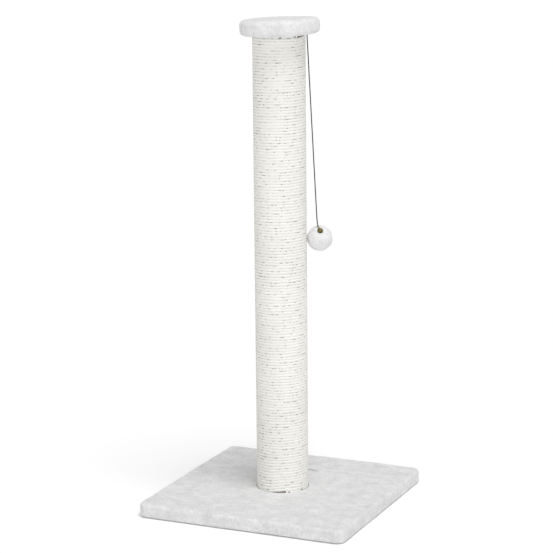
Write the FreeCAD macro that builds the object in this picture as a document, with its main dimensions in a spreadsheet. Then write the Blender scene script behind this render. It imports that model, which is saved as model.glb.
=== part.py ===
import FreeCAD, Part
import math
import os
import Sketcher

# Cat scratching post: a plush covered square base, a rope wound cardboard post bolted to it,
# a plush cap, and a toy ball with a jingle bell on an elastic cord.
# Frame: origin on the floor at the middle of the base, +Z up, base sides along X and Y.
# Toy pieces are drawn with +X pointing out from the post, then turned by toy_azimuth.

V = FreeCAD.Vector
UP = V(0, 0, 1)
ORIGIN = V(0, 0, 0)

DRIVING = [
    # alias, millimetres or degrees, what it is
    ("base_side", 400, "side of the square base, over its plush"),
    ("base_corner", 17, "corner radius of the base, over its plush"),
    ("edge_bevel", 3, "bevel of the base's top edge"),
    ("board_thick", 16, "base board"),
    ("pile_thick", 4.5, "plush over board or foam"),
    ("hem_thick", 3, "plush pressed flat under a board"),
    ("hem_width", 32, "plush turned under the base board"),
    ("liner_thick", 0.8, "black underside liner"),
    ("liner_inset", 10, "liner edge inside the base edge"),
    ("liner_corner", 8, "corner radius of the liner"),
    ("liner_hole_dia", 34, "hole in the liner for the bolt"),
    ("foot_dia", 28, "felt foot pad"),
    ("foot_thick", 2, "felt foot pad"),
    ("foot_inset", 46, "centre of a foot pad inside the base edge"),
    ("bolt_dia", 8, "base bolt and cap bolt"),
    ("bolt_clear", 0.5, "radial room for a bolt in its hole"),
    ("bolt_past_nut", 3, "bolt tip beyond its tee nut"),
    ("head_dia", 14, "button head of the base bolt"),
    ("head_tall", 4.4, "button head of the base bolt"),
    ("key_flats", 5, "hexagon socket, across its flats"),
    ("key_depth", 2.6, "hexagon socket"),
    ("head_bevel", 1.2, "bevel round a bolt head"),
    ("head_recess", 1.5, "bolt head above the board's underside"),
    ("washer_dia", 24, "washer under the base bolt"),
    ("washer_thick", 1.8, "washer under the base bolt"),
    ("washer_room", 1, "radial room for the washer in its counterbore"),
    ("post_sink", 2.2, "post pressed into the plush of the base"),
    ("sink_room", 0.3, "radial room for a tack head in the pressed plush"),
    ("post_length", 839, "cardboard tube"),
    ("tube_dia", 85.2, "cardboard tube, outside"),
    ("tube_wall", 4, "cardboard tube"),
    ("plug_thick", 20, "wooden plug in each end of the tube"),
    ("plug_fit", 0.1, "radial room for a plug in the tube"),
    ("nut_flange_dia", 22, "flange of a tee nut"),
    ("nut_flange_thick", 1.5, "flange of a tee nut"),
    ("nut_barrel_dia", 10, "barrel of a tee nut"),
    ("nut_barrel_long", 11, "barrel of a tee nut"),
    ("nut_barrel_room", 0.1, "radial room for a tee nut's barrel"),
    ("thread_room", 0.05, "radial room for a bolt in a tee nut"),
    ("prong_long", 7, "prong of a tee nut, driven into the plug"),
    ("prong_width", 3, "prong of a tee nut"),
    ("nail_dia", 1.8, "nail through the tube into a plug"),
    ("nail_long", 18, "nail through the tube into a plug"),
    ("rope_dia", 4.8, "twisted rope"),
    ("rope_pitch", 5.25, "rise of the rope in one turn"),
    ("glue_film", 0.1, "glue between the tube and the rope"),
    ("rope_end_room", 0.25, "room between a rope end and the plush"),
    ("tack_dia", 1.6, "tack that holds a rope end"),
    ("tack_head_dia", 4, "head of a rope tack"),
    ("tack_head_thick", 0.7, "head of a rope tack"),
    ("tack_long", 11, "rope tack, under its head"),
    ("cap_dia", 143, "cap, over its plush"),
    ("cap_board_thick", 12, "board in the cap"),
    ("foam_thick", 6, "foam on the cap's board"),
    ("cap_bevel", 5, "bevel of the cap's top edge"),
    ("cap_hem_bevel", 4, "bevel of the cap's lower edge"),
    ("hem_bore_room", 3, "radial room between the tube and the cap's hem"),
    ("cap_head_dia", 20, "low wide head of the cap bolt"),
    ("cap_head_tall", 4, "low wide head of the cap bolt"),
    ("neck_side", 8, "square neck of the cap bolt"),
    ("neck_long", 4, "square neck of the cap bolt"),
    ("cap_head_room", 1, "radial room for the cap bolt's head in the foam"),
    ("staple_crown", 10, "staple, across its crown"),
    ("staple_leg", 9, "staple leg under its crown"),
    ("staple_wide", 1.2, "staple wire, width"),
    ("staple_thick", 0.6, "staple wire, thickness"),
    ("staple_inset", 6, "staple inside the edge that it holds"),
    ("toy_azimuth", 24.1, "direction of the toy round the post, from +X towards +Y"),
    ("toy_drop", 369.3, "ball centre below the cap"),
    ("cord_dia", 2, "elastic cord"),
    ("knot_dia", 3.8, "knot at the top of the cord"),
    ("knot_room", 0.3, "room round the top knot"),
    ("end_knot_dia", 3, "knot at the bell's loop"),
    ("knot_gap", 0.05, "room between a knot and what it bears on"),
    ("ball_dia", 45.6, "toy ball, over its plush"),
    ("ball_gap", 0.4, "room between the resting ball and the rope"),
    ("stuffing_dia", 33, "stuffing of the toy ball"),
    ("bell_dia", 10, "jingle bell"),
    ("bell_wall", 0.4, "brass sheet of the bell"),
    ("bell_sink", 0.4, "bell centre inside the ball's surface"),
    ("bell_room", 0.1, "room between the bell and the plush round it"),
    ("bell_seat_tilt", 42.5, "bell on the ball, down from the ball's top"),
    ("bell_seat_turn", -88, "bell on the ball, round the vertical from +X"),
    ("bell_axis_tilt", 42.5, "bell axis, from the vertical"),
    ("bell_axis_turn", 126, "bell axis, round the vertical from +X"),
    ("slot_width", 1.2, "sound slot of the bell"),
    ("loop_wire", 0.9, "wire of the bell's loop"),
    ("loop_dia", 3.2, "bell's loop, to the middle of its wire"),
    ("pellet_dia", 3.2, "pellet in the bell"),
    ("pellet_room", 0.2, "room between the pellet and the bell's wall"),
]

# Worked out from the driving sizes.
DERIVED = [
    ("liner_base", "=Sizes.foot_thick"),
    ("liner_staple_base", "=liner_base - Sizes.staple_thick"),
    ("hem_base", "=liner_base + Sizes.liner_thick"),
    ("board_base", "=hem_base + Sizes.hem_thick"),
    ("board_top", "=board_base + Sizes.board_thick"),
    ("cover_top", "=board_top + Sizes.pile_thick"),
    ("cover_height", "=cover_top - hem_base"),
    ("base_half", "=Sizes.base_side / 2"),
    ("board_half", "=base_half - Sizes.pile_thick"),
    ("board_corner", "=Sizes.base_corner - Sizes.pile_thick"),
    ("opening_half", "=base_half - Sizes.hem_width"),
    ("liner_half", "=base_half - Sizes.liner_inset"),
    ("foot_place", "=base_half - Sizes.foot_inset"),
    ("bolt_radius", "=Sizes.bolt_dia / 2"),
    ("bolt_hole", "=bolt_radius + Sizes.bolt_clear"),
    ("head_base", "=board_base + Sizes.head_recess"),
    ("washer_base", "=head_base + Sizes.head_tall"),
    ("washer_top", "=washer_base + Sizes.washer_thick"),
    ("counterbore_depth", "=washer_top - board_base"),
    ("counterbore_radius", "=Sizes.washer_dia / 2 + Sizes.washer_room"),
    ("washer_radius", "=Sizes.washer_dia / 2"),
    ("head_radius", "=Sizes.head_dia / 2"),
    ("head_edge", "=head_base + Sizes.head_bevel"),
    ("head_face", "=head_radius - Sizes.head_bevel"),
    ("liner_hole", "=Sizes.liner_hole_dia / 2"),
    ("post_base", "=cover_top - Sizes.post_sink"),
    ("post_top", "=post_base + Sizes.post_length"),
    ("tube_radius", "=Sizes.tube_dia / 2"),
    ("tube_bore", "=tube_radius - Sizes.tube_wall"),
    ("plug_radius", "=tube_bore - Sizes.plug_fit"),
    ("barrel_radius", "=Sizes.nut_barrel_dia / 2"),
    ("barrel_hole", "=barrel_radius + Sizes.nut_barrel_room"),
    ("nut_bore", "=bolt_radius + Sizes.thread_room"),
    ("flange_radius", "=Sizes.nut_flange_dia / 2"),
    ("lower_plug_top", "=post_base + Sizes.plug_thick"),
    ("upper_plug_base", "=post_top - Sizes.plug_thick"),
    ("bolt_tip", "=lower_plug_top + Sizes.nut_flange_thick + Sizes.bolt_past_nut"),
    ("cap_bolt_tip", "=upper_plug_base - Sizes.nut_flange_thick - Sizes.bolt_past_nut"),
    ("rope_inner", "=tube_radius + Sizes.glue_film"),
    ("rope_centre", "=rope_inner + Sizes.rope_dia / 2"),
    ("rope_outer", "=rope_inner + Sizes.rope_dia"),
    ("sink_radius", "=rope_outer + Sizes.tack_head_thick + Sizes.sink_room"),
    ("cap_base", "=post_top - Sizes.hem_thick"),
    ("cap_board_top", "=post_top + Sizes.cap_board_thick"),
    ("foam_top", "=cap_board_top + Sizes.foam_thick"),
    ("cap_top", "=foam_top + Sizes.pile_thick"),
    ("cap_radius", "=Sizes.cap_dia / 2"),
    ("cap_board_radius", "=cap_radius - Sizes.pile_thick"),
    ("hem_bore", "=tube_radius + Sizes.hem_bore_room"),
    ("hem_bevel_in", "=cap_radius - Sizes.cap_hem_bevel"),
    ("hem_bevel_top", "=cap_base + Sizes.cap_hem_bevel"),
    ("cap_bevel_low", "=cap_top - Sizes.cap_bevel"),
    ("cap_bevel_in", "=cap_radius - Sizes.cap_bevel"),
    ("cap_head_radius", "=Sizes.cap_head_dia / 2"),
    ("cap_head_top", "=cap_board_top + Sizes.cap_head_tall"),
    ("foam_hole", "=cap_head_radius + Sizes.cap_head_room"),
    ("neck_half", "=Sizes.neck_side / 2"),
    ("knot_hole", "=Sizes.knot_dia / 2 + Sizes.knot_room"),
    ("exit_radius", "=rope_outer + knot_hole"),
    ("exit_x", "=exit_radius * cos(Sizes.toy_azimuth)"),
    ("exit_y", "=exit_radius * sin(Sizes.toy_azimuth)"),
    ("ball_x", "=rope_outer + Sizes.ball_gap + Sizes.ball_dia / 2"),
    ("ball_z", "=cap_base - Sizes.toy_drop"),
]

# Counts and the rope's two loose ends.
WOUND_TURNS = 5           # real turns of rope at each end of the post, with a plain core between
ROPE_SIDES = 4            # flats round the rope's section, which stands on a corner
ROPE_START = -56.0        # direction of the lower rope end, in degrees from +X
ROPE_FINISH = -26.0       # direction of the upper rope end
LUG_ANGLE = 12.0          # plain core's stub of rope, round the post
TACK_FIRST = 4.0          # from a rope end to its first tack, round the post
TACK_STEP = 33.0          # from the first tack of a rope end to the next
HEM_STAPLES_PER_SIDE = 3
LINER_STAPLES_PER_SIDE = 2
CAP_STAPLES = 8
NAILS_PER_PLUG = 4
PRONGS = 4
POINTS_PER_TURN = 400     # where the rope's distance to itself is measured

# Flats round a small ball, and its bands from pole to pole.
BELL_FACETS = (12, 8)
BELL_INSCRIBED = 0.94     # radius that such a ball's flats leave free, over its own radius

doc = FreeCAD.newDocument("cat_scratching_post")


def fill_sheet(name, rows):
    """One line of a sheet for each size: its note, and its value under an alias."""
    sheet = doc.addObject("Spreadsheet::Sheet", name)
    for line, row in enumerate(rows, start=1):
        sheet.set(f"A{line}", row[2] if len(row) > 2 else row[0])
        sheet.set(f"B{line}", str(row[1]))
        sheet.setAlias(f"B{line}", row[0])
    doc.recompute()
    return sheet


sizes = fill_sheet("Sizes", DRIVING)
derived = fill_sheet("Derived", DERIVED)
names = {row[0]: "Sizes" for row in DRIVING}
names.update({row[0]: "Derived" for row in DERIVED})
nodes = []


def size(alias):
    """The number under an alias, in millimetres or degrees."""
    return float(getattr(doc.getObject(names[alias]), alias))


def cell(alias):
    """The alias as an expression, with a leading minus kept."""
    sign, word = ("-", alias[1:]) if alias.startswith("-") else ("", alias)
    return f"{sign}{names[word]}.{word}"


def number(alias):
    """The value of a sketch coordinate: an alias, an alias with a minus, or 0."""
    if alias == 0:
        return 0.0
    return -size(alias[1:]) if alias.startswith("-") else size(alias)


def keep(thing, label):
    """Names a finished sub-part and lists it for export."""
    thing.Label = label
    nodes.append(thing)
    return thing


# ---- sketches -------------------------------------------------------------------------------

def new_body(label):
    body = doc.addObject("PartDesign::Body", label)
    return keep(body, label)


def new_sketch(body, role, level=None):
    """A sketch on one of the body's own planes, raised to a level along its normal."""
    sketch = body.newObject("Sketcher::SketchObject", f"{body.Name}_sketch")
    plane = next(f for f in body.Origin.OriginFeatures if f.Role == role)
    sketch.AttachmentSupport = [(plane, "")]
    sketch.MapMode = "FlatFace"
    if level:
        sketch.setExpression("AttachmentOffset.Base.z", cell(level))
    return sketch


def pin(sketch, line, point, x, y):
    """Ties a sketch point to two aliases, or to an axis where one of them is 0."""
    for way, axis, alias in (("DistanceX", -2, x), ("DistanceY", -1, y)):
        if alias == 0:
            sketch.addConstraint(Sketcher.Constraint("PointOnObject", line, point, axis))
            continue
        index = sketch.addConstraint(Sketcher.Constraint(way, -1, 1, line, point, number(alias)))
        sketch.setExpression(f"Constraints[{index}]", cell(alias))


def draw_outline(sketch, corners):
    """A closed outline of straight lines through corners given as pairs of aliases."""
    points = [V(number(x), number(y), 0) for x, y in corners]
    count = len(points)
    for index, point in enumerate(points):
        sketch.addGeometry(Part.LineSegment(point, points[(index + 1) % count]))
    for index in range(count):
        sketch.addConstraint(Sketcher.Constraint("Coincident", index, 2, (index + 1) % count, 1))
    for index, (x, y) in enumerate(corners):
        pin(sketch, index, 1, x, y)


def draw_circle(sketch, radius, x=0, y=0):
    centre = V(number(x), number(y), 0)
    line = sketch.addGeometry(Part.Circle(centre, UP, number(radius)))
    pin(sketch, line, 3, x, y)
    index = sketch.addConstraint(Sketcher.Constraint("Radius", line, number(radius)))
    sketch.setExpression(f"Constraints[{index}]", cell(radius))


def draw_rounded_square(sketch, half, corner):
    """Four sides at +-half, joined by four equal tangent arcs."""
    side, radius = number(half), number(corner)
    flat = side - radius
    ends = [((-flat, -side), (flat, -side)), ((side, -flat), (side, flat)),
            ((flat, side), (-flat, side)), ((-side, flat), (-side, -flat))]
    centres = [(flat, -flat), (flat, flat), (-flat, flat), (-flat, -flat)]
    starts = [-90, 0, 90, 180]
    for (a, b), (cx, cy), start in zip(ends, centres, starts):
        sketch.addGeometry(Part.LineSegment(V(*a, 0), V(*b, 0)))
        circle = Part.Circle(V(cx, cy, 0), UP, radius)
        sketch.addGeometry(Part.ArcOfCircle(circle, math.radians(start), math.radians(start + 90)))
    for line in range(0, 8, 2):
        sketch.addConstraint(Sketcher.Constraint("Tangent", line, 2, line + 1, 1))
        sketch.addConstraint(Sketcher.Constraint("Tangent", line + 1, 2, (line + 2) % 8, 1))
    for line, way in ((0, "Horizontal"), (2, "Vertical"), (4, "Horizontal"), (6, "Vertical")):
        sketch.addConstraint(Sketcher.Constraint(way, line))
    for line, way, alias in ((0, "DistanceY", "-" + half), (2, "DistanceX", half),
                             (4, "DistanceY", half), (6, "DistanceX", "-" + half)):
        index = sketch.addConstraint(Sketcher.Constraint(way, -1, 1, line, 1, number(alias)))
        sketch.setExpression(f"Constraints[{index}]", cell(alias))
    for arc in (3, 5, 7):
        sketch.addConstraint(Sketcher.Constraint("Equal", 1, arc))
    index = sketch.addConstraint(Sketcher.Constraint("Radius", 1, radius))
    sketch.setExpression(f"Constraints[{index}]", cell(corner))


# ---- features -------------------------------------------------------------------------------

def add_pad(body, sketch, length):
    pad = body.newObject("PartDesign::Pad", f"{body.Name}_pad")
    pad.Profile = sketch
    pad.setExpression("Length", cell(length))
    sketch.Visibility = False
    return pad


def add_pocket(body, sketch, depth, upward):
    """Cuts away from the sketch, up or down, and checks that something was cut."""
    doc.recompute()
    before = body.Shape.Volume
    pocket = body.newObject("PartDesign::Pocket", f"{body.Name}_pocket")
    pocket.Profile = sketch
    pocket.setExpression("Length", cell(depth))
    pocket.Reversed = upward
    doc.recompute()
    if body.Shape.Volume >= before:
        raise RuntimeError(f"{body.Label}: a pocket cut nothing")
    return pocket


def add_revolution(body, sketch):
    turn = body.newObject("PartDesign::Revolution", f"{body.Name}_revolution")
    turn.Profile = sketch
    turn.ReferenceAxis = (sketch, ["V_Axis"])
    turn.Angle = 360
    return turn


def lathe(label, corners):
    """A body turned about the Z axis from an outline of (radius, level) corners."""
    body = new_body(label)
    sketch = new_sketch(body, "XZ_Plane")
    draw_outline(sketch, corners)
    add_revolution(body, sketch)
    return body


def add_chamfer(body, width, level):
    """Bevels the body's edges that lie flat at a level."""
    doc.recompute()
    base = body.Tip
    edges = []
    for index, edge in enumerate(base.Shape.Edges, start=1):
        if abs(edge.BoundBox.ZMin - size(level)) < 1e-4:
            edges.append(f"Edge{index}")
    chamfer = body.newObject("PartDesign::Chamfer", f"{body.Name}_chamfer")
    chamfer.Base = (base, edges)
    chamfer.setExpression("Size", cell(width))


def solid_group(label, shapes):
    """Identical loose pieces, as one sub-part of separate solids."""
    group = doc.addObject("Part::Feature", label)
    group.Shape = Part.makeCompound(shapes)
    return keep(group, label)


def turned(shape, degrees):
    """A copy of a shape turned about the Z axis."""
    copy = shape.copy()
    copy.rotate(ORIGIN, UP, degrees)
    return copy


def facet_rod(start, way, radius, length):
    """A thin nail's shank or head, as a prism of eight flats."""
    side = way.cross(UP).normalize()
    up = side.cross(way)
    corners = [start + side * (radius * math.cos(math.pi * n / 4))
               + up * (radius * math.sin(math.pi * n / 4)) for n in range(8)]
    return Part.Face(Part.makePolygon(corners + corners[:1])).extrude(way * length)


# ---- base -----------------------------------------------------------------------------------

def make_base_board():
    """Chipboard square with a counterbored hole for the post's bolt."""
    body = new_body("base_board")
    outline = new_sketch(body, "XY_Plane", "board_base")
    draw_rounded_square(outline, "board_half", "board_corner")
    add_pad(body, outline, "board_thick")
    counterbore = new_sketch(body, "XY_Plane", "board_base")
    draw_circle(counterbore, "counterbore_radius")
    add_pocket(body, counterbore, "counterbore_depth", upward=True)
    hole = new_sketch(body, "XY_Plane", "board_base")
    draw_circle(hole, "bolt_hole")
    add_pocket(body, hole, "board_thick", upward=True)


def make_base_cover():
    """Plush drawn over the board and turned under it, dented where the post stands."""
    body = new_body("base_cover")
    outside = new_sketch(body, "XY_Plane", "hem_base")
    draw_rounded_square(outside, "base_half", "base_corner")
    add_pad(body, outside, "cover_height")
    add_chamfer(body, "edge_bevel", "cover_top")
    inside = new_sketch(body, "XY_Plane", "board_base")
    draw_rounded_square(inside, "board_half", "board_corner")
    add_pocket(body, inside, "board_thick", upward=True)
    opening = new_sketch(body, "XY_Plane", "hem_base")
    draw_rounded_square(opening, "opening_half", "board_corner")
    add_pocket(body, opening, "hem_thick", upward=True)
    dent = new_sketch(body, "XY_Plane", "cover_top")
    draw_circle(dent, "sink_radius")
    add_pocket(body, dent, "post_sink", upward=False)
    hole = new_sketch(body, "XY_Plane", "cover_top")
    draw_circle(hole, "bolt_hole")
    add_pocket(body, hole, "pile_thick", upward=False)


def make_base_liner():
    """Thin black sheet under the base, with a hole to reach the bolt."""
    body = new_body("base_liner")
    outline = new_sketch(body, "XY_Plane", "liner_base")
    draw_rounded_square(outline, "liner_half", "liner_corner")
    add_pad(body, outline, "liner_thick")
    hole = new_sketch(body, "XY_Plane", "liner_base")
    draw_circle(hole, "liner_hole")
    add_pocket(body, hole, "liner_thick", upward=True)


def make_foot_pads():
    """Four felt discs stuck under the corners."""
    pads = []
    for x, y in ((-1, -1), (1, -1), (1, 1), (-1, 1)):
        corner = V(x * size("foot_place"), y * size("foot_place"), 0)
        pads.append(Part.makeCylinder(size("foot_dia") / 2, size("foot_thick"), corner))
    solid_group("foot_pads", pads)


def staple():
    """A wire staple at the origin: crown along X with its outer face at Z = 0, legs up."""
    half = size("staple_crown") / 2
    thick = size("staple_thick")
    leg = thick + size("staple_leg")
    path = [V(-half, 0, 0), V(half, 0, 0), V(half, 0, leg), V(half - thick, 0, leg),
            V(half - thick, 0, thick), V(thick - half, 0, thick), V(thick - half, 0, leg),
            V(-half, 0, leg)]
    face = Part.Face(Part.makePolygon(path + path[:1]))
    face.translate(V(0, -size("staple_wide") / 2, 0))
    return face.extrude(V(0, size("staple_wide"), 0))


def staples_round_square(label, inset, level, per_side):
    """Staples in a square under the base, spaced evenly along each side."""
    line = size("base_half") - inset
    step = 2 * line / per_side
    shapes = []
    for side in range(4):
        for index in range(per_side):
            shape = staple()
            shape.translate(V((index + 0.5) * step - line, -line, size(level)))
            shapes.append(turned(shape, 90 * side))
    solid_group(label, shapes)


def make_base_staples():
    """Staples through the hem, hidden by the liner, and staples through the liner's edge."""
    hem_line = size("hem_width") - size("staple_inset")
    liner_line = size("liner_inset") + size("staple_inset")
    staples_round_square("hem_staples", hem_line, "hem_base", HEM_STAPLES_PER_SIDE)
    staples_round_square("liner_staples", liner_line, "liner_staple_base", LINER_STAPLES_PER_SIDE)


def make_base_bolt():
    """Button head bolt with a hexagon socket, up through the board into the lower tee nut."""
    body = lathe("base_bolt", [
        (0, "head_base"), ("head_face", "head_base"), ("head_radius", "head_edge"),
        ("head_radius", "washer_base"), ("bolt_radius", "washer_base"),
        ("bolt_radius", "bolt_tip"), (0, "bolt_tip")])
    socket = new_sketch(body, "XY_Plane", "head_base")
    across = size("key_flats") / math.sqrt(3)
    corners = [V(across * math.cos(math.pi * n / 3), across * math.sin(math.pi * n / 3), 0)
               for n in range(6)]
    for n in range(6):
        socket.addGeometry(Part.LineSegment(corners[n], corners[(n + 1) % 6]))
    for n in range(6):
        socket.addConstraint(Sketcher.Constraint("Coincident", n, 2, (n + 1) % 6, 1))
    guide = socket.addGeometry(Part.Circle(ORIGIN, UP, across), True)
    socket.addConstraint(Sketcher.Constraint("Coincident", guide, 3, -1, 1))
    for n in range(6):
        socket.addConstraint(Sketcher.Constraint("PointOnObject", n, 1, guide))
    for n in range(1, 6):
        socket.addConstraint(Sketcher.Constraint("Equal", 0, n))
    socket.addConstraint(Sketcher.Constraint("PointOnObject", 0, 1, -1))
    index = socket.addConstraint(Sketcher.Constraint("Radius", guide, across))
    socket.setExpression(f"Constraints[{index}]", "Sizes.key_flats / sqrt(3)")
    add_pocket(body, socket, "key_depth", upward=True)


def make_base_washer():
    lathe("base_washer", [
        ("bolt_hole", "washer_base"), ("washer_radius", "washer_base"),
        ("washer_radius", "washer_top"), ("bolt_hole", "washer_top")])


# ---- post -----------------------------------------------------------------------------------

def make_post_tube():
    lathe("post_tube", [
        ("tube_bore", "post_base"), ("tube_radius", "post_base"),
        ("tube_radius", "post_top"), ("tube_bore", "post_top")])


def make_plugs():
    """Wooden discs in the tube's ends, bored for the barrels of their tee nuts."""
    lathe("lower_plug", [
        ("barrel_hole", "post_base"), ("plug_radius", "post_base"),
        ("plug_radius", "lower_plug_top"), ("barrel_hole", "lower_plug_top")])
    lathe("upper_plug", [
        ("barrel_hole", "upper_plug_base"), ("plug_radius", "upper_plug_base"),
        ("plug_radius", "post_top"), ("barrel_hole", "post_top")])


def tee_nut():
    """A tee nut at the origin: flange from Z = 0 down, barrel and prongs up."""
    flange = Part.makeCylinder(size("flange_radius"), size("nut_flange_thick"),
                               V(0, 0, -size("nut_flange_thick")))
    nut = flange.fuse(Part.makeCylinder(size("barrel_radius"), size("nut_barrel_long")))
    thick = size("nut_flange_thick")
    outer = math.sqrt(size("flange_radius") ** 2 - (size("prong_width") / 2) ** 2)
    profile = [V(outer - thick, 0, 0), V(outer, 0, 0), V(outer, 0, size("prong_long"))]
    prong = Part.Face(Part.makePolygon(profile + profile[:1]))
    prong.translate(V(0, -size("prong_width") / 2, 0))
    prong = prong.extrude(V(0, size("prong_width"), 0))
    for index in range(PRONGS):
        nut = nut.fuse(turned(prong, 360 * index / PRONGS))
    bore_long = size("nut_barrel_long") + size("nut_flange_thick")
    bore = Part.makeCylinder(size("nut_bore"), bore_long, V(0, 0, -size("nut_flange_thick")))
    return nut.cut(bore).removeSplitter()


def make_tee_nuts():
    """One nut lies on the lower plug, flange up, and the other under the upper plug."""
    lower, upper = tee_nut(), tee_nut()
    lower.rotate(ORIGIN, V(1, 0, 0), 180)
    lower.translate(V(0, 0, size("lower_plug_top")))
    upper.translate(V(0, 0, size("upper_plug_base")))
    solid_group("tee_nuts", [lower, upper])


def make_plug_nails():
    """Nails driven in through the tube, level with the middle of each plug."""
    shapes = []
    half = size("plug_thick") / 2
    middles = (size("post_base") + half, size("post_top") - half)
    for middle in middles:
        for index in range(NAILS_PER_PLUG):
            nail = facet_rod(V(size("tube_radius"), 0, middle), V(-1, 0, 0),
                             size("nail_dia") / 2, size("nail_long"))
            shapes.append(turned(nail, 360 * (index + 0.5) / NAILS_PER_PLUG))
    solid_group("plug_nails", shapes)


def helix_point(turn, base):
    """A point of the rope's middle line and its direction, turn being counted from the end."""
    angle = math.radians(ROPE_START) + 2 * math.pi * turn
    radius, pitch = size("rope_centre"), size("rope_pitch")
    point = V(radius * math.cos(angle), radius * math.sin(angle), base + pitch * turn)
    way = V(-radius * math.sin(angle), radius * math.cos(angle), pitch / (2 * math.pi))
    return point, way.normalize()


def tangent_arc(start, way, end):
    """The arc that leaves start along way and reaches end, and its direction there."""
    chord = end - start
    side = way.cross(chord).cross(way).normalize()
    radius = chord.dot(chord) / (2 * chord.dot(side))
    centre = start + side * radius
    middle = centre + ((start - centre) + (end - centre)).normalize() * radius
    return Part.Arc(start, middle, end).toShape()


def biarc(start, start_way, end, end_way):
    """Two tangent arcs that join two points with given directions."""
    chord = end - start
    both = start_way + end_way
    a = 2 * (start_way.dot(end_way) - 1)
    b = -2 * chord.dot(both)
    c = chord.dot(chord)
    reach = (-b - math.sqrt(b * b - 4 * a * c)) / (2 * a)
    first = start + start_way * reach
    second = end - end_way * reach
    meeting = (first + second) * 0.5
    along = (meeting - first).normalize()
    return [tangent_arc(start, start_way, meeting), tangent_arc(meeting, along, end)]


def rope_turns(base):
    """The wound rope: straight for a diameter, then biarcs of half a turn, then straight."""
    knots = [helix_point(index / 2, base) for index in range(2 * WOUND_TURNS + 1)]
    first, first_way = knots[0]
    last, last_way = knots[-1]
    straight = size("rope_dia")
    edges = [Part.LineSegment(first - first_way * straight, first).toShape()]
    for (start, start_way), (end, end_way) in zip(knots, knots[1:]):
        edges += biarc(start, start_way, end, end_way)
    tip = last + last_way * straight
    edges.append(Part.LineSegment(last, tip).toShape())
    path = Part.Wire(edges)
    outward = V(first.x, first.y, 0).normalize()
    upward = outward.cross(first_way) * -1
    radius = straight / 2
    corners = []
    for index in range(ROPE_SIDES):
        angle = 2 * math.pi * index / ROPE_SIDES
        offset = outward * (radius * math.cos(angle)) + upward * (radius * math.sin(angle))
        corners.append(first - first_way * straight + offset)
    section = Part.makePolygon(corners + corners[:1])
    rope = path.makePipeShell([section], True, False)
    area = ROPE_SIDES / 2 * radius ** 2 * math.sin(2 * math.pi / ROPE_SIDES)
    print(f"rope turns: volume over section times length {rope.Volume / (area * path.Length):.5f}")
    return rope, path, tip, last_way


def print_least_gap(path, turns):
    """Prints the least distance between neighbouring turns, less the rope's height."""
    count = POINTS_PER_TURN * turns
    points = path.discretize(Number=count + 1)
    per_turn = count / (path.Length / (2 * math.pi * size("rope_centre")))
    least = 1e9
    for index, point in enumerate(points):
        low = int(index + 0.8 * per_turn)
        high = min(len(points), int(index + 1.2 * per_turn))
        for other in points[low:high]:
            least = min(least, point.distanceToPoint(other))
    print(f"rope turns: least gap to itself {least - size('rope_dia'):.3f} mm")


def make_sisal_rope():
    """One rope up the post: real turns at both ends, and a plain sleeve for those between."""
    half_height = size("rope_dia") / 2
    base = size("post_base") + half_height + size("rope_end_room")
    rope, path, tip, way = rope_turns(base)
    print_least_gap(path, WOUND_TURNS)
    room = size("rope_pitch") - 2 * half_height
    bottom = tip.z + half_height + room
    ends_apart = size("cap_base") - size("post_base")
    middle = (size("cap_base") + size("post_base")) / 2
    length = ends_apart - 2 * (bottom - size("post_base"))

    def ring(low, height):
        outer = Part.makeCylinder(size("rope_outer"), height, V(0, 0, low))
        return outer.cut(Part.makeCylinder(size("rope_inner"), height, V(0, 0, low)))

    # A stub of rope reaches down from the sleeve to the end of the turns.
    lug_height = room + 2 * half_height
    lug_long = math.radians(LUG_ANGLE) * size("rope_centre")
    block = Part.makeBox(lug_long, 4 * size("rope_dia"), 4 * lug_height,
                         V(0, -2 * size("rope_dia"), -2 * lug_height))
    inward = UP.cross(way).normalize()
    block.Placement = FreeCAD.Placement(tip, FreeCAD.Rotation(way, inward, way.cross(inward), "XYZ"))
    lug = ring(tip.z - half_height, lug_height + half_height).common(block)
    flip_angle = math.radians((ROPE_START + ROPE_FINISH) / 2)
    flip_axis = V(math.cos(flip_angle), math.sin(flip_angle), 0)

    def flipped(shape):
        copy = shape.copy()
        copy.rotate(V(0, 0, middle), flip_axis, 180)
        return copy

    sleeve = ring(bottom, length).fuse([lug, flipped(lug)]).removeSplitter()
    solid_group("sisal_rope", [rope, sleeve, flipped(rope)])


def make_rope_tacks():
    """Tacks through the rope's two ends, with their heads on the rope."""
    shapes = []
    low = size("post_base") + size("rope_dia") / 2 + size("rope_end_room")
    high = size("cap_base") + size("post_base") - low
    for angle, level, sense in ((ROPE_START, low, 1), (ROPE_FINISH, high, -1)):
        for index in range(2):
            outside = V(size("rope_outer"), 0, 0)
            tack = facet_rod(outside, V(-1, 0, 0), size("tack_dia") / 2, size("tack_long"))
            head = facet_rod(outside, V(1, 0, 0), size("tack_head_dia") / 2,
                             size("tack_head_thick"))
            turn = sense * (index * TACK_STEP + TACK_FIRST) / 360
            shape = turned(tack.fuse(head), angle + 360 * turn)
            shape.translate(V(0, 0, level + turn * size("rope_pitch")))
            shapes.append(shape)
    solid_group("rope_tacks", shapes)


# ---- cap ------------------------------------------------------------------------------------

def draw_neck(sketch):
    """The square of the cap bolt's neck."""
    draw_outline(sketch, [("-neck_half", "-neck_half"), ("neck_half", "-neck_half"),
                          ("neck_half", "neck_half"), ("-neck_half", "neck_half")])


def make_cap_board():
    """Round board with a hole for the cap bolt and a square seat for its neck."""
    body = lathe("cap_board", [
        ("bolt_hole", "post_top"), ("cap_board_radius", "post_top"),
        ("cap_board_radius", "cap_board_top"), ("bolt_hole", "cap_board_top")])
    seat = new_sketch(body, "XY_Plane", "cap_board_top")
    draw_neck(seat)
    add_pocket(body, seat, "neck_long", upward=False)


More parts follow.
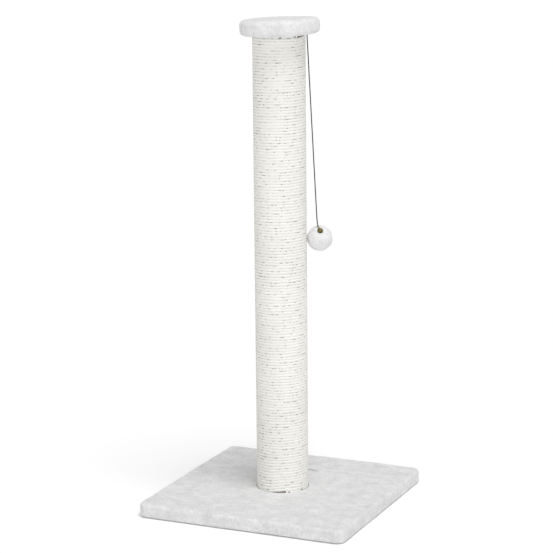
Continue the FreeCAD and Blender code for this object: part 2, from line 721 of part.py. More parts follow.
def make_cap_bolt():
    """Coach bolt with a square neck, down through the board into the upper tee nut."""
    body = lathe("cap_bolt", [
        (0, "cap_bolt_tip"), ("bolt_radius", "cap_bolt_tip"), ("bolt_radius", "cap_board_top"),
        ("cap_head_radius", "cap_board_top"), ("cap_head_radius", "cap_head_top"),
        (0, "cap_head_top")])
    neck = new_sketch(body, "XY_Plane", "cap_board_top")
    draw_neck(neck)
    add_pad(body, neck, "neck_long").Reversed = True


def make_cap_foam():
    lathe("cap_foam", [
        ("foam_hole", "cap_board_top"), ("cap_board_radius", "cap_board_top"),
        ("cap_board_radius", "foam_top"), ("foam_hole", "foam_top")])


def make_cap_cover():
    """Plush drawn over the foam and turned under the board, with a hole for the cord's knot."""
    body = lathe("cap_cover", [
        (0, "cap_top"), (0, "foam_top"), ("cap_board_radius", "foam_top"),
        ("cap_board_radius", "post_top"), ("hem_bore", "post_top"), ("hem_bore", "cap_base"),
        ("hem_bevel_in", "cap_base"), ("cap_radius", "hem_bevel_top"),
        ("cap_radius", "cap_bevel_low"), ("cap_bevel_in", "cap_top")])
    hole = new_sketch(body, "XY_Plane", "cap_base")
    draw_circle(hole, "knot_hole", "exit_x", "exit_y")
    add_pocket(body, hole, "hem_thick", upward=True)


def make_cap_staples():
    """Staples in a ring through the cap's hem, and one over the cord above its knot."""
    reach = (size("exit_radius") + size("cap_board_radius")) / 2
    shapes = []
    for index in range(CAP_STAPLES):
        shape = staple()
        shape.rotate(ORIGIN, UP, 90)
        shape.translate(V(reach, 0, size("cap_base")))
        shapes.append(turned(shape, size("toy_azimuth") + 360 * (index + 0.5) / CAP_STAPLES))
    solid_group("cap_staples", shapes)
    shape = staple()
    shape.rotate(ORIGIN, UP, 90)
    shape.translate(V(size("exit_radius"), 0, size("post_top") - size("staple_thick")))
    turned_sub_part("cord_staple", shape)


# ---- toy ------------------------------------------------------------------------------------

def direction(tilt, turn):
    """A unit vector tilted from the vertical and turned from +X, both in degrees."""
    down, round_z = math.radians(tilt), math.radians(turn)
    flat = math.sin(down)
    return V(flat * math.cos(round_z), flat * math.sin(round_z), math.cos(down))


def facet_ball(centre, radius, sides, bands):
    """A ball of flat bands: rings of corners between two poles, joined by ruled lofts."""
    rings = []
    for band in range(1, bands):
        angle = math.pi * band / bands
        reach, level = radius * math.sin(angle), radius * math.cos(angle)
        corners = [centre + V(reach * math.cos(2 * math.pi * n / sides),
                              reach * math.sin(2 * math.pi * n / sides), level)
                   for n in range(sides)]
        rings.append(corners)
    top, bottom = centre + V(0, 0, radius), centre - V(0, 0, radius)
    faces = []
    for n in range(sides):
        after = (n + 1) % sides
        faces.append([top, rings[0][n], rings[0][after]])
        faces.append([bottom, rings[-1][after], rings[-1][n]])
        for upper, lower in zip(rings, rings[1:]):
            faces.append([upper[n], lower[n], lower[after], upper[after]])
    shell = Part.makeShell([Part.Face(Part.makePolygon(f + f[:1])) for f in faces])
    return Part.makeSolid(shell)


def turned_sub_part(label, shape):
    """A piece drawn out along +X, turned about the post to where the toy hangs."""
    piece = doc.addObject("Part::Feature", label)
    piece.Shape = Part.makeCompound([shape])
    piece.setExpression("Placement.Rotation.Angle", cell("toy_azimuth"))
    return keep(piece, label)


def toy_places():
    """The ball's centre, the bell's centre and axis, and the middles of the two knots."""
    ball = V(size("ball_x"), 0, size("ball_z"))
    seat = direction(size("bell_seat_tilt"), size("bell_seat_turn"))
    bell = ball + seat * (size("ball_dia") / 2 - size("bell_sink"))
    axis = direction(size("bell_axis_tilt"), size("bell_axis_turn"))
    loop = bell + axis * (size("bell_dia") / 2 + size("loop_dia") / 2)
    past_loop = (size("loop_dia") + size("loop_wire") + size("end_knot_dia")) / 2 + size("knot_gap")
    end_knot = loop + axis * past_loop
    top_knot = V(size("exit_radius"), 0, size("cap_base"))
    return ball, bell, axis, loop, end_knot, top_knot


# Two bends of the cord above the bell's knot: outward, sideways and up from the knot.
CORD_BENDS = [V(-1.9, 6.6, 18.0), V(-1.2, 5.0, 7.4)]


def cord_path(top_knot, end_knot):
    """Straight runs joined by tangent arcs, from knot to knot. Prints the radii."""
    points = [top_knot] + [end_knot + bend for bend in CORD_BENDS] + [end_knot]
    runs = [(b - a).Length for a, b in zip(points, points[1:])]
    ways = [(b - a).normalize() for a, b in zip(points, points[1:])]
    edges = []
    here = top_knot + ways[0] * (size("knot_dia") / 2 + size("knot_gap"))
    for index in range(1, len(points) - 1):
        turn = ways[index - 1].getAngle(ways[index])
        trim = 0.45 * min(runs[index - 1], runs[index])
        print(f"cord: radius {trim / math.tan(turn / 2):.1f} mm, turn {math.degrees(turn):.1f} deg")
        start = points[index] - ways[index - 1] * trim
        edges.append(Part.LineSegment(here, start).toShape())
        edges.append(tangent_arc(start, ways[index - 1], points[index] + ways[index] * trim))
        here = points[index] + ways[index] * trim
    last = end_knot - ways[-1] * (size("end_knot_dia") / 2 + size("knot_gap"))
    edges.append(Part.LineSegment(here, last).toShape())
    return Part.Wire(edges), ways[0]


def make_cord(top_knot, end_knot):
    """Elastic cord from the knot under the cap to the knot at the bell."""
    path, way = cord_path(top_knot, end_knot)
    start = path.Vertexes[0].Point
    side = way.cross(V(0, 1, 0)).normalize()
    across = way.cross(side)
    radius = size("cord_dia") / 2
    corners = [start + side * (radius * math.cos(math.pi * n / 4))
               + across * (radius * math.sin(math.pi * n / 4)) for n in range(8)]
    cord = path.makePipeShell([Part.makePolygon(corners + corners[:1])], True, False)
    section = 4 * radius ** 2 * math.sin(math.pi / 4)
    print(f"cord: length {path.Length:.1f} mm, "
          f"volume over section times length {cord.Volume / (section * path.Length):.5f}")
    turned_sub_part("elastic_cord", cord)
    turned_sub_part("cord_knot", facet_ball(top_knot, size("knot_dia") / 2, 12, 6))
    turned_sub_part("cord_end_knot", facet_ball(end_knot, size("end_knot_dia") / 2, 10, 6))


def bell_half(centre, axis, open_slot):
    """Half of the bell's brass shell, on the side that the axis points to."""
    radius = size("bell_dia") / 2
    shell = facet_ball(ORIGIN, radius, *BELL_FACETS)
    shell = shell.cut(facet_ball(ORIGIN, radius - size("bell_wall"), *BELL_FACETS))
    upper_space = Part.makeBox(4 * radius, 4 * radius, 2 * radius, V(-2 * radius, -2 * radius, 0))
    shell = shell.common(upper_space)
    if open_slot:
        slot_long = 1.6 * radius
        shell = shell.cut(Part.makeBox(slot_long, size("slot_width"), radius,
                                       V(-slot_long / 2, -size("slot_width") / 2, radius / 2)))
    shell.Placement = FreeCAD.Placement(centre, FreeCAD.Rotation(UP, axis))
    return shell


def bell_ring(bell, axis, loop):
    """The bell's wire loop: a flat ring of twelve sides, standing on the upper shell."""
    inner = size("loop_dia") / 2 - size("loop_wire") / 2
    outer = size("loop_dia") / 2 + size("loop_wire") / 2
    plates = []
    for reach in (outer, inner):
        corners = [V(reach * math.cos(math.pi * n / 6), reach * math.sin(math.pi * n / 6),
                     -size("loop_wire") / 2) for n in range(12)]
        plate = Part.Face(Part.makePolygon(corners + corners[:1]))
        plates.append(plate.extrude(UP * size("loop_wire")))
    ring = plates[0].cut(plates[1])
    ring.Placement = FreeCAD.Placement(loop, FreeCAD.Rotation(UP, axis.cross(UP).normalize()))
    space = facet_ball(ORIGIN, size("bell_dia") / 2, *BELL_FACETS)
    space.Placement = FreeCAD.Placement(bell, FreeCAD.Rotation(UP, axis))
    return ring.cut(space)


def make_bell(bell, axis, loop):
    """Two brass half shells, the loop on the upper one and a loose pellet inside."""
    turned_sub_part("bell_upper_shell", bell_half(bell, axis, open_slot=False))
    turned_sub_part("bell_lower_shell", bell_half(bell, axis * -1, open_slot=True))
    turned_sub_part("bell_loop", bell_ring(bell, axis, loop))
    pellet_radius = size("pellet_dia") / 2
    free_radius = (size("bell_dia") / 2 - size("bell_wall")) * BELL_INSCRIBED
    drop = free_radius - pellet_radius - size("pellet_room")
    turned_sub_part("bell_pellet", facet_ball(bell - UP * drop, pellet_radius, 8, 6))


def make_ball(ball, bell, loop):
    """Stuffing and a plush cover that is dented by the bell and its loop."""
    stuffing = facet_ball(ball, size("stuffing_dia") / 2, 12, 8)
    bell_reach = size("bell_dia") / 2 + size("bell_room")
    loop_reach = (size("loop_dia") + size("loop_wire")) / 2 + size("bell_room")
    cover = facet_ball(ball, size("ball_dia") / 2, 18, 10).cut(stuffing)
    for centre, reach in ((bell, bell_reach), (loop, loop_reach)):
        cover = cover.cut(facet_ball(centre, reach / BELL_INSCRIBED, *BELL_FACETS))
    turned_sub_part("ball_stuffing", stuffing)
    turned_sub_part("ball_cover", cover)


def make_toy():
    ball, bell, axis, loop, end_knot, top_knot = toy_places()
    make_cord(top_knot, end_knot)
    make_bell(bell, axis, loop)
    make_ball(ball, bell, loop)


# ---- the whole post -------------------------------------------------------------------------

for make in (make_base_board, make_base_cover, make_base_liner, make_foot_pads,
             make_base_staples, make_base_bolt, make_base_washer, make_post_tube, make_plugs,
             make_tee_nuts, make_plug_nails, make_sisal_rope, make_rope_tacks, make_cap_board,
             make_cap_bolt, make_cap_foam, make_cap_cover, make_cap_staples, make_toy):
    make()
doc.recompute()

for thing in doc.Objects:
    if "Invalid" in thing.State or "Error" in thing.State:
        raise RuntimeError(f"{thing.Label} failed: {thing.State}")
os.makedirs("parts", exist_ok=True)
for node in nodes:
    if node.Shape.isNull() or not node.Shape.isValid():
        raise RuntimeError(f"{node.Label} has no valid shape")
    node.Shape.exportStep(f"parts/{node.Label}.step")
print(f"{len(nodes)} sub-parts")
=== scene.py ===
# %% [markdown]
# # A rope wound scratching post with a plush base, a plush cap and a toy ball
#
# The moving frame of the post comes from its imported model. This lesson dresses that frame: it
# sets up the camera, then makes the cord, the wound rope, the plush and the small brass bell,
# and gives every piece its finish. Sizes that the frame already holds are read from it, so the
# soft pieces fit the boards and the tube that they cover.

# %% The frame
import math

import bpy
import numpy as np
from mathutils import Matrix, Vector


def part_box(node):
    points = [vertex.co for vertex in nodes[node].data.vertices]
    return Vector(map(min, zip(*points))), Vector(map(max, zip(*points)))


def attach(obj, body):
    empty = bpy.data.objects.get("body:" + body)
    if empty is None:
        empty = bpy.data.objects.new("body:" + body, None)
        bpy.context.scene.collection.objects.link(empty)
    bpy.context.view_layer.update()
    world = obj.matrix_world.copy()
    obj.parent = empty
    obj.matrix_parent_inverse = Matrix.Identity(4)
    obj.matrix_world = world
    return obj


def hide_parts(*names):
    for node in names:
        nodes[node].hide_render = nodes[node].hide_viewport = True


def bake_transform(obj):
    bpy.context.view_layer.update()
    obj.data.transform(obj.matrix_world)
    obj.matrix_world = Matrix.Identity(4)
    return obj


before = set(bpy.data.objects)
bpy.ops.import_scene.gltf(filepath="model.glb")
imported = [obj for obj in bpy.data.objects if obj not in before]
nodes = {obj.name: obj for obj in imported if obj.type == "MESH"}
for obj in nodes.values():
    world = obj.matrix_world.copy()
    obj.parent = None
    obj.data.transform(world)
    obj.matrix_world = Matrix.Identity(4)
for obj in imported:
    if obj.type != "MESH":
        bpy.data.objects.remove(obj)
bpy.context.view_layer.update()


def span(node, axis):
    """Lowest and highest place of a part of the frame along an axis, to a micrometre."""
    low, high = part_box(node)
    return round(low[axis], 6), round(high[axis], 6)


print("pieces in the frame:", len(nodes))

# %% [markdown]
# The camera comes first, because it decides how fine each surface has to be. It stands about
# 3.7 m away and a little above the middle of the post, so the lens is long and the post's sides
# stay almost parallel. The whole view is rolled by half a degree, as a hand-held one is.

# %% Camera
def aim_camera(azimuth, elevation, roll, distance, sideways, height, lens):
    """Looks at a point on the post's middle line, moved sideways, from round and above it."""
    a, e, r = (math.radians(x) for x in (azimuth, elevation, roll))
    back = Vector((math.sin(a) * math.cos(e), -math.cos(a) * math.cos(e), math.sin(e)))
    level = Vector((math.cos(a), math.sin(a), 0))
    upward = back.cross(level)
    right = level * math.cos(r) + upward * math.sin(r)
    up = upward * math.cos(r) - level * math.sin(r)
    place = level * sideways + Vector((0, 0, height)) + back * distance
    data = bpy.data.cameras.new("camera")
    data.lens = lens
    data.clip_start, data.clip_end = 0.05, 60
    camera = bpy.data.objects.new("camera", data)
    turn = Matrix((right, up, back)).transposed().to_4x4()
    camera.matrix_world = Matrix.Translation(place) @ turn
    bpy.context.scene.collection.objects.link(camera)
    bpy.context.scene.camera = camera
    return camera


camera = aim_camera(azimuth=24.101, elevation=11.971, roll=-0.541, distance=3.7179,
                    sideways=-0.008083, height=0.42087, lens=133.6)
bpy.context.scene.view_settings.view_transform = "Standard"
print("camera at", [round(x, 3) for x in camera.matrix_world.translation])

# %% [markdown]
# The light is that of a white studio. A high broad lamp on the right gives the blurred shadow to
# the left of the post, a low lamp near the camera fills the front, so that the cap throws no
# shadow on the rope, and a pale sky does the rest. Wide suns do for both lamps: the shadows stay
# soft, and the light is the same all over the object. The sky, the floor and every finish are
# built from shader nodes, so one helper that makes a node and links it comes first.

# %% Light
def add_node(tree, kind, inputs=(), **settings):
    """A shader node. Each input is a number, a colour, or a socket to link to."""
    made = tree.nodes.new("ShaderNode" + kind)
    for setting, value in settings.items():
        setattr(made, setting, value)
    for socket, value in dict(inputs).items():
        if isinstance(value, bpy.types.NodeSocket):
            tree.links.new(value, made.inputs[socket])
        else:
            made.inputs[socket].default_value = value
    return made


def add_sun(name, azimuth, elevation, strength, spread):
    """A sun that shines from azimuth (0 is -Y, 90 is +X) and elevation, both in degrees."""
    a, e = math.radians(azimuth), math.radians(elevation)
    towards = Vector((math.sin(a) * math.cos(e), -math.cos(a) * math.cos(e), math.sin(e)))
    data = bpy.data.lights.new(name, "SUN")
    data.energy, data.angle = strength, math.radians(spread)
    sun = bpy.data.objects.new(name, data)
    sun.rotation_euler = towards.to_track_quat("Z", "Y").to_euler()
    bpy.context.scene.collection.objects.link(sun)
    return sun


def add_sky(strength):
    """Grey light from all sides. Camera, mirror and glass rays see it as white."""
    world = bpy.data.worlds.new("sky")
    world.use_nodes = True
    tree = world.node_tree
    tree.nodes.clear()
    path = add_node(tree, "LightPath")
    shown = add_node(tree, "Math", {0: path.outputs["Is Camera Ray"],
                                    1: path.outputs["Is Glossy Ray"]}, operation="MAXIMUM")
    shown = add_node(tree, "Math", {0: shown.outputs[0], 1: path.outputs["Is Transmission Ray"]},
                     operation="MAXIMUM")
    light = add_node(tree, "Background", {"Color": (1, 1, 1, 1), "Strength": strength})
    white = add_node(tree, "Background", {"Color": (1, 1, 1, 1)})
    mix = add_node(tree, "MixShader", {0: shown.outputs[0], 1: light.outputs[0],
                                       2: white.outputs[0]})
    add_node(tree, "OutputWorld", {"Surface": mix.outputs[0]})
    bpy.context.scene.world = world


add_sun("high_lamp", azimuth=59, elevation=70, strength=1.42, spread=27)
add_sun("front_lamp", azimuth=22, elevation=5, strength=1.2, spread=50)
add_sky(0.52)
print("light: a high lamp, a front lamp and a pale sky")

# %% [markdown]
# Two small tools serve every piece. One makes a mesh from a grid of points that numpy has worked
# out. The other makes a soft random field, which gives rope, plush and fabric their unevenness.

# %% Grids and noise
def place_mesh(name, points, loops, starts, uv=None):
    """Puts arrays into a new mesh: points, corner numbers of all faces, first corner of each."""
    mesh = bpy.data.meshes.new(name)
    mesh.vertices.add(len(points))
    mesh.vertices.foreach_set("co", np.asarray(points, np.float32).ravel())
    mesh.loops.add(len(loops))
    mesh.loops.foreach_set("vertex_index", np.asarray(loops, np.int32))
    mesh.polygons.add(len(starts))
    mesh.polygons.foreach_set("loop_start", np.asarray(starts, np.int32))
    mesh.polygons.foreach_set("use_smooth", np.ones(len(starts), bool))
    if uv is not None:
        layer = mesh.uv_layers.new(name="UVMap")
        layer.data.foreach_set("uv", np.asarray(uv, np.float32).ravel())
    mesh.update(calc_edges=True)
    mesh.validate()
    piece = bpy.data.objects.new(name, mesh)
    bpy.context.scene.collection.objects.link(piece)
    return piece


def grid_piece(name, points, ends, uv=None):
    """A closed surface on a grid of points (rows, columns, 3). Every row closes on itself.

    Face (i, j) joins rows i and i + 1 between columns j and j + 1. ends says how the rows end:
    "loop" joins the last row to the first, "caps" closes each end with one flat face, and
    "poles" closes each end with triangles that meet at the mean of its row.
    """
    rows, columns = points.shape[:2]
    across = np.arange(columns)
    after = (across + 1) % columns
    down = np.arange(rows if ends == "loop" else rows - 1)
    below = (down + 1) % rows
    quads = np.stack([down[:, None] * columns + across, down[:, None] * columns + after,
                      below[:, None] * columns + after, below[:, None] * columns + across], -1)
    quads = quads.reshape(-1, 4)
    vertices = points.reshape(-1, 3)
    loops, starts = quads.ravel(), np.arange(len(quads)) * 4
    corner_uv = None
    if uv is not None:
        wide = np.concatenate([uv, uv[:, :1] + (0, 1)], 1)
        corner_uv = np.stack([wide[down][:, :-1], wide[down][:, 1:],
                              wide[below][:, 1:], wide[below][:, :-1]], 2).reshape(-1, 2)
    if ends == "caps":
        last = (rows - 1) * columns + across
        starts = np.append(starts, [len(loops), len(loops) + columns])
        loops = np.concatenate([loops, across[::-1], last])
        if uv is not None:
            corner_uv = np.concatenate([corner_uv, uv[0][::-1], uv[-1]])
    if ends == "poles":
        first, last = len(vertices), len(vertices) + 1
        vertices = np.concatenate([vertices, points[0].mean(0)[None], points[-1].mean(0)[None]])
        base = (rows - 1) * columns
        top_fan = np.stack([np.full(columns, first), after, across], -1)
        low_fan = np.stack([np.full(columns, last), base + across, base + after], -1)
        fans = np.concatenate([top_fan, low_fan])
        starts = np.concatenate([starts, len(loops) + np.arange(len(fans)) * 3])
        loops = np.concatenate([loops, fans.ravel()])
    return place_mesh(name, vertices, loops, starts, corner_uv)


LATTICE_SIZE, POLE_GAP = 64, 0.02
LATTICE = np.random.RandomState(7).rand(LATTICE_SIZE, LATTICE_SIZE, LATTICE_SIZE)


def noise(points, scale):
    """Smooth random values from -1 to 1: a random number at each lattice point, scale metres
    apart, blended by 3t^2 - 2t^3 along each axis."""
    p = np.asarray(points) / scale
    cell = np.floor(p).astype(int)
    t = p - cell
    t = t * t * (3 - 2 * t)
    total = 0
    for x in (0, 1):
        for y in (0, 1):
            for z in (0, 1):
                corner = (cell + (x, y, z)) % LATTICE_SIZE
                value = LATTICE[corner[..., 0], corner[..., 1], corner[..., 2]]
                weight = np.abs(1 - x - t[..., 0]) * np.abs(1 - y - t[..., 1])
                total = total + value * weight * np.abs(1 - z - t[..., 2])
    return 2 * total - 1


def layered(points, scale, layers):
    """Noise at a scale, plus half as much at half the scale, and so on."""
    total = 0
    for layer in range(layers):
        total = total + noise(points + 3.7 * layer, scale / 2 ** layer) / 2 ** layer
    return total


def outward_normals(points):
    """Unit normals of a grid: the cross product of its steps along rows and along columns."""
    along = np.gradient(points, axis=0)
    around = (np.roll(points, -1, 1) - np.roll(points, 1, 1)) / 2
    normal = np.cross(around, along)
    length = np.linalg.norm(normal, axis=-1, keepdims=True)
    return normal / np.maximum(length, 1e-12)


print("grid and noise tools ready")

# %% [markdown]
# Materials are built from nodes. These helpers keep each recipe to a few lines: one starts a
# material with its shader, the others add a noise, a ramp of colours, and a bump.

# %% Material helpers
class Recipe:
    """A node material with a Principled shader, and the nodes that most finishes need."""

    def __init__(self, name, roughness=0.8, metallic=0.0, **sockets):
        self.material = bpy.data.materials.new(name)
        self.material.use_nodes = True
        self.tree = self.material.node_tree
        self.shader = self.tree.nodes["Principled BSDF"]
        self.shader.inputs["Roughness"].default_value = roughness
        self.shader.inputs["Metallic"].default_value = metallic
        for socket, value in sockets.items():
            self.shader.inputs[socket.replace("_", " ")].default_value = value
        self.place = self.tree.nodes.new("ShaderNodeTexCoord")

    def node(self, kind, inputs=(), **settings):
        """A node in this material."""
        return add_node(self.tree, kind, inputs, **settings)

    def stretched(self, scale):
        """Object coordinates multiplied by three numbers."""
        return self.node("Mapping", {"Vector": self.place.outputs["Object"],
                                     "Scale": scale}).outputs[0]

    def noise(self, scale, detail=3.0, vector=None, roughness=0.55):
        """Noise with a number of spots per metre, or per unit of another vector."""
        vector = vector or self.place.outputs["Object"]
        made = self.node("TexNoise", {"Vector": vector, "Scale": scale, "Detail": detail,
                                      "Roughness": roughness})
        return made.outputs["Fac"]

    def ramp(self, value, stops):
        """Colours or greys at positions from 0 to 1 along the value."""
        made = self.node("ValToRGB", {"Fac": value})
        elements = made.color_ramp.elements
        while len(elements) < len(stops):
            elements.new(0.5)
        for element, (position, colour) in zip(elements, stops):
            element.position = position
            rgb = (colour,) * 3 if isinstance(colour, (int, float)) else colour
            element.color = (*rgb, 1)
        return made.outputs["Color"]

    def math(self, operation, a, b=0.0):
        """One sum or function of one or two values."""
        return self.node("Math", {0: a, 1: b}, operation=operation).outputs[0]

    def mix(self, factor, a, b, how="MIX"):
        """Two colours blended by a factor, plainly or as the name of the blend says."""
        made = self.node("Mix", data_type="RGBA", blend_type=how)
        for socket, value in ((made.inputs[0], factor), (made.inputs[6], a), (made.inputs[7], b)):
            if isinstance(value, bpy.types.NodeSocket):
                self.tree.links.new(value, socket)
            elif isinstance(value, tuple):
                socket.default_value = (*value, 1)
            else:
                socket.default_value = value
        return made.outputs[2]

    def finish(self, colour, height, distance, strength=0.6, roughness=None):
        """Links the colour, and a bump of the height over a distance in metres."""
        self.tree.links.new(colour, self.shader.inputs["Base Color"])
        bump = self.node("Bump", {"Height": height, "Distance": distance, "Strength": strength})
        self.tree.links.new(bump.outputs[0], self.shader.inputs["Normal"])
        if roughness is not None:
            self.tree.links.new(roughness, self.shader.inputs["Roughness"])
        return self.material


def dress(piece, material, body, slot, *replaced):
    """Gives a piece its material and body, and hides the parts it replaces. The slot is not used.
    """
    piece.data.materials.clear()
    piece.data.materials.append(material)
    if body:
        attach(piece, body)
    if replaced:
        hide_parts(*replaced)
    return piece


print("material helpers ready")

# %% [markdown]
# The toy hangs on a thin elastic cord, knotted under the cap and again at the bell. It runs
# straight under the weight, and bends twice just above the bell's knot. A NURBS curve through a
# few control points gives that line, and a round tube is carried along it as a mesh.

# %% The cord's route
TOP_KNOT = (0.045368, 0.020294, 0.8601)
CORD_START = (0.04546, 0.020316, 0.858152)
CORD_END = (0.064682, 0.019415, 0.516108)
END_KNOT = (0.065221, 0.018714, 0.514835)
ROUTE = [CORD_START, (0.060792, 0.023963, 0.532835), (0.062084, 0.022788, 0.522235), CORD_END]
CORD_LENGTH, CORD_DIAMETER, CORD_STEPS, CORD_SIDES = 0.3437, 0.002, 700, 16


def route_points(route):
    """Points along the route's NURBS curve, as the program draws them for a bare curve."""
    data = bpy.data.curves.new("route", "CURVE")
    data.dimensions = "3D"
    data.resolution_u = 24
    spline = data.splines.new("NURBS")
    spline.points.add(len(route) - 1)
    for point, place in zip(spline.points, route):
        point.co = (*place, 1)
    spline.order_u = 3
    spline.use_endpoint_u = True
    holder = bpy.data.objects.new("route", data)
    bpy.context.scene.collection.objects.link(holder)
    bpy.context.view_layer.update()
    line = bpy.data.meshes.new_from_object(holder)
    points = np.array([v.co for v in line.vertices])
    bpy.data.objects.remove(holder)
    return points


cord_line = route_points(ROUTE)
cord_steps = np.linalg.norm(np.diff(cord_line, axis=0), axis=1)
print(f"cord line: {len(cord_line)} points, {cord_steps.sum() * 1000:.1f} mm")

# %% [markdown]
# The cord's cover is braided. A curve with a bevel would give a tube too. Here the tube is worked
# out as the line plus a circle in the plane across it, which gives a UV map in metres along it
# and turns around it. The braid is two sets of sine waves on that map, one leaning each way, so
# that it follows every bend.

# %% Cord
def carried_ring(line, way, beside, radius, sides):
    """A tube: at each point p of the line, the circle p + radius (u cos a + v sin a).

    u is square to the line's way and to the direction beside it, and v is square to way and u.
    """
    way = way / np.linalg.norm(way, axis=1, keepdims=True)
    first = np.cross(way, beside)
    first /= np.linalg.norm(first, axis=1, keepdims=True)
    second = np.cross(way, first)
    angle = np.linspace(0, 2 * np.pi, sides, endpoint=False)[None, :, None]
    return line[:, None] + radius * (first[:, None] * np.cos(angle)
                                     + second[:, None] * np.sin(angle))


def resample(line, count):
    """The same line with points at equal distances along it."""
    along = np.concatenate([[0], np.cumsum(np.linalg.norm(np.diff(line, axis=0), axis=1))])
    wanted = np.linspace(0, along[-1], count)
    return np.stack([np.interp(wanted, along, line[:, axis]) for axis in range(3)], -1), wanted


even_line, cord_along = resample(cord_line, CORD_STEPS)
cord_rings = carried_ring(even_line, np.gradient(even_line, axis=0), (0.3, 0.95, 0.0),
                          CORD_DIAMETER / 2, CORD_SIDES)
cord_turns = np.linspace(0, 1, CORD_SIDES, endpoint=False)
cord_uv = np.stack(np.broadcast_arrays(cord_along[:, None], cord_turns[None, :]), -1)
cord = grid_piece("elastic_cord_braid", cord_rings, ends="caps", uv=cord_uv)

braid = Recipe("braided_elastic", roughness=0.9, Specular_IOR_Level=0.2)
cord_place = braid.node("SeparateXYZ", {0: braid.place.outputs["UV"]})
lengthwise = braid.math("MULTIPLY", cord_place.outputs[0], 5200.0)
roundabout = braid.math("MULTIPLY", cord_place.outputs[1], 25.13)
strands = [braid.math("SINE", braid.math(lean, lengthwise, roundabout))
           for lean in ("ADD", "SUBTRACT")]
weave = braid.math("MAXIMUM", *strands)
tint = braid.ramp(weave, [(0.2, (0.018, 0.018, 0.02)), (0.9, (0.06, 0.06, 0.064))])
shade = braid.ramp(braid.noise(260.0), [(0.35, 0.8), (0.7, 1.15)])
dress(cord, braid.finish(braid.mix(1.0, tint, shade, "MULTIPLY"), weave, 0.0002), None,
      "grey_elastic", "elastic_cord")
print("cord:", len(cord.data.polygons), "faces")

# %% [markdown]
# Each end is tied in an overhand knot. Its line is a trefoil, the closed curve that an overhand
# knot makes, drawn small and with a cord nearly as thick as its loops, so it reads as a pulled
# knot. The top knot also turns as the cord swings to the side.

# %% Knots
KNOT_STEPS, KNOT_SIDES = 180, 12


def knot_line(centre, across):
    """A trefoil: x = sin t + 2 sin 2t, y = cos t - 2 cos 2t, z = -1.3 sin 3t, scaled and placed.

    The curve reaches 3 from its middle, so it is divided by 6 to be 1 across.
    """
    t = np.linspace(0, 2 * np.pi, KNOT_STEPS, endpoint=False)
    line = np.stack([np.sin(t) + 2 * np.sin(2 * t), np.cos(t) - 2 * np.cos(2 * t),
                     -1.3 * np.sin(3 * t)], -1)
    return np.array(centre) + line * (across / 2 / 3.0)


def knot_piece(name, centre, outside, strand, body, node):
    """A strand of a diameter, carried round the trefoil, to a given outside diameter."""
    line = knot_line(centre, outside - strand)
    way = np.roll(line, -1, 0) - np.roll(line, 1, 0)
    rings = carried_ring(line, way, line - np.array(centre), strand / 2, KNOT_SIDES)
    piece = grid_piece(name, rings, ends="loop")
    return dress(piece, knot_finish, body, "grey_elastic", node)


knotted = Recipe("knotted_elastic", roughness=0.9, Specular_IOR_Level=0.2)
knot_grain = knotted.noise(900.0)
knot_finish = knotted.finish(knotted.ramp(knot_grain, [(0.3, (0.02, 0.02, 0.022)),
                                                       (0.7, (0.06, 0.06, 0.065))]),
                             knot_grain, 0.0002)
top_knot = knot_piece("cord_knot_top", TOP_KNOT, outside=0.0038, strand=0.0015,
                      body="toy_pivot", node="cord_knot")
end_knot = knot_piece("cord_knot_end", END_KNOT, outside=0.0030, strand=0.0013,
                      body="toy_hook", node="cord_end_knot")
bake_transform(cord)
print("knots at", TOP_KNOT, "and", END_KNOT)

# %% [markdown]
# The post is wound with one bleached rope from bottom to top, about 158 turns. Drawing it as a
# helix is exact: the rope's middle goes round the tube and climbs one pitch in each turn. A
# smooth cylinder with a bump would be lighter, but its outline would be straight. A real rope is
# laid from three strands, and its turns are pressed flat against each other, with a gap here and
# there. So the section is a rounded square with three shallow lobes that turn as it goes, and
# the line wanders by a tenth of a millimetre. The dark in the gaps and at the cut ends is painted
# shade in the finish. A winder also starts flat: the first turn lies on the plush and steps up
# where it meets its own end, and the turns above slowly even out. The rope is cut into six
# pieces, to keep each mesh small.

# %% Rope
ROPE_RADIUS = 0.0024
ROPE_MIDDLE_RADIUS = span("sisal_rope", 0)[1] - ROPE_RADIUS
ROPE_LOW, ROPE_HIGH = 0.02675, 0.85745
ROPE_FIRST_ANGLE, ROPE_TURNS = math.radians(-56), 158 + 30 / 360
LAY_LENGTH, STRAND_DEPTH, SQUARENESS, TALLNESS = 0.0165, 0.1, 0.65, 1.2
ROPE_END_REACH, FLAT_TURNS, STEP_UP = 0.017, 14, 0.16
STEPS_PER_TURN, ROPE_SIDES, ROPE_PIECES = 200, 12, 6


def flat_start(turn):
    """How far, in turns, the rope lies below its even helix near an end of the winding.

    With f the part of a turn that is done, the rope lags by f until the last STEP_UP of the
    turn, where it catches up by 3t^2 - 2t^3. The lag fades away over FLAT_TURNS turns.
    """
    done = np.mod(turn, 1.0)
    t = np.clip((done - (1 - STEP_UP)) / STEP_UP, 0, 1)
    fading = np.clip(1 - turn / FLAT_TURNS, 0, 1) * (turn > 0)
    return (done - t * t * (3 - 2 * t)) * fading


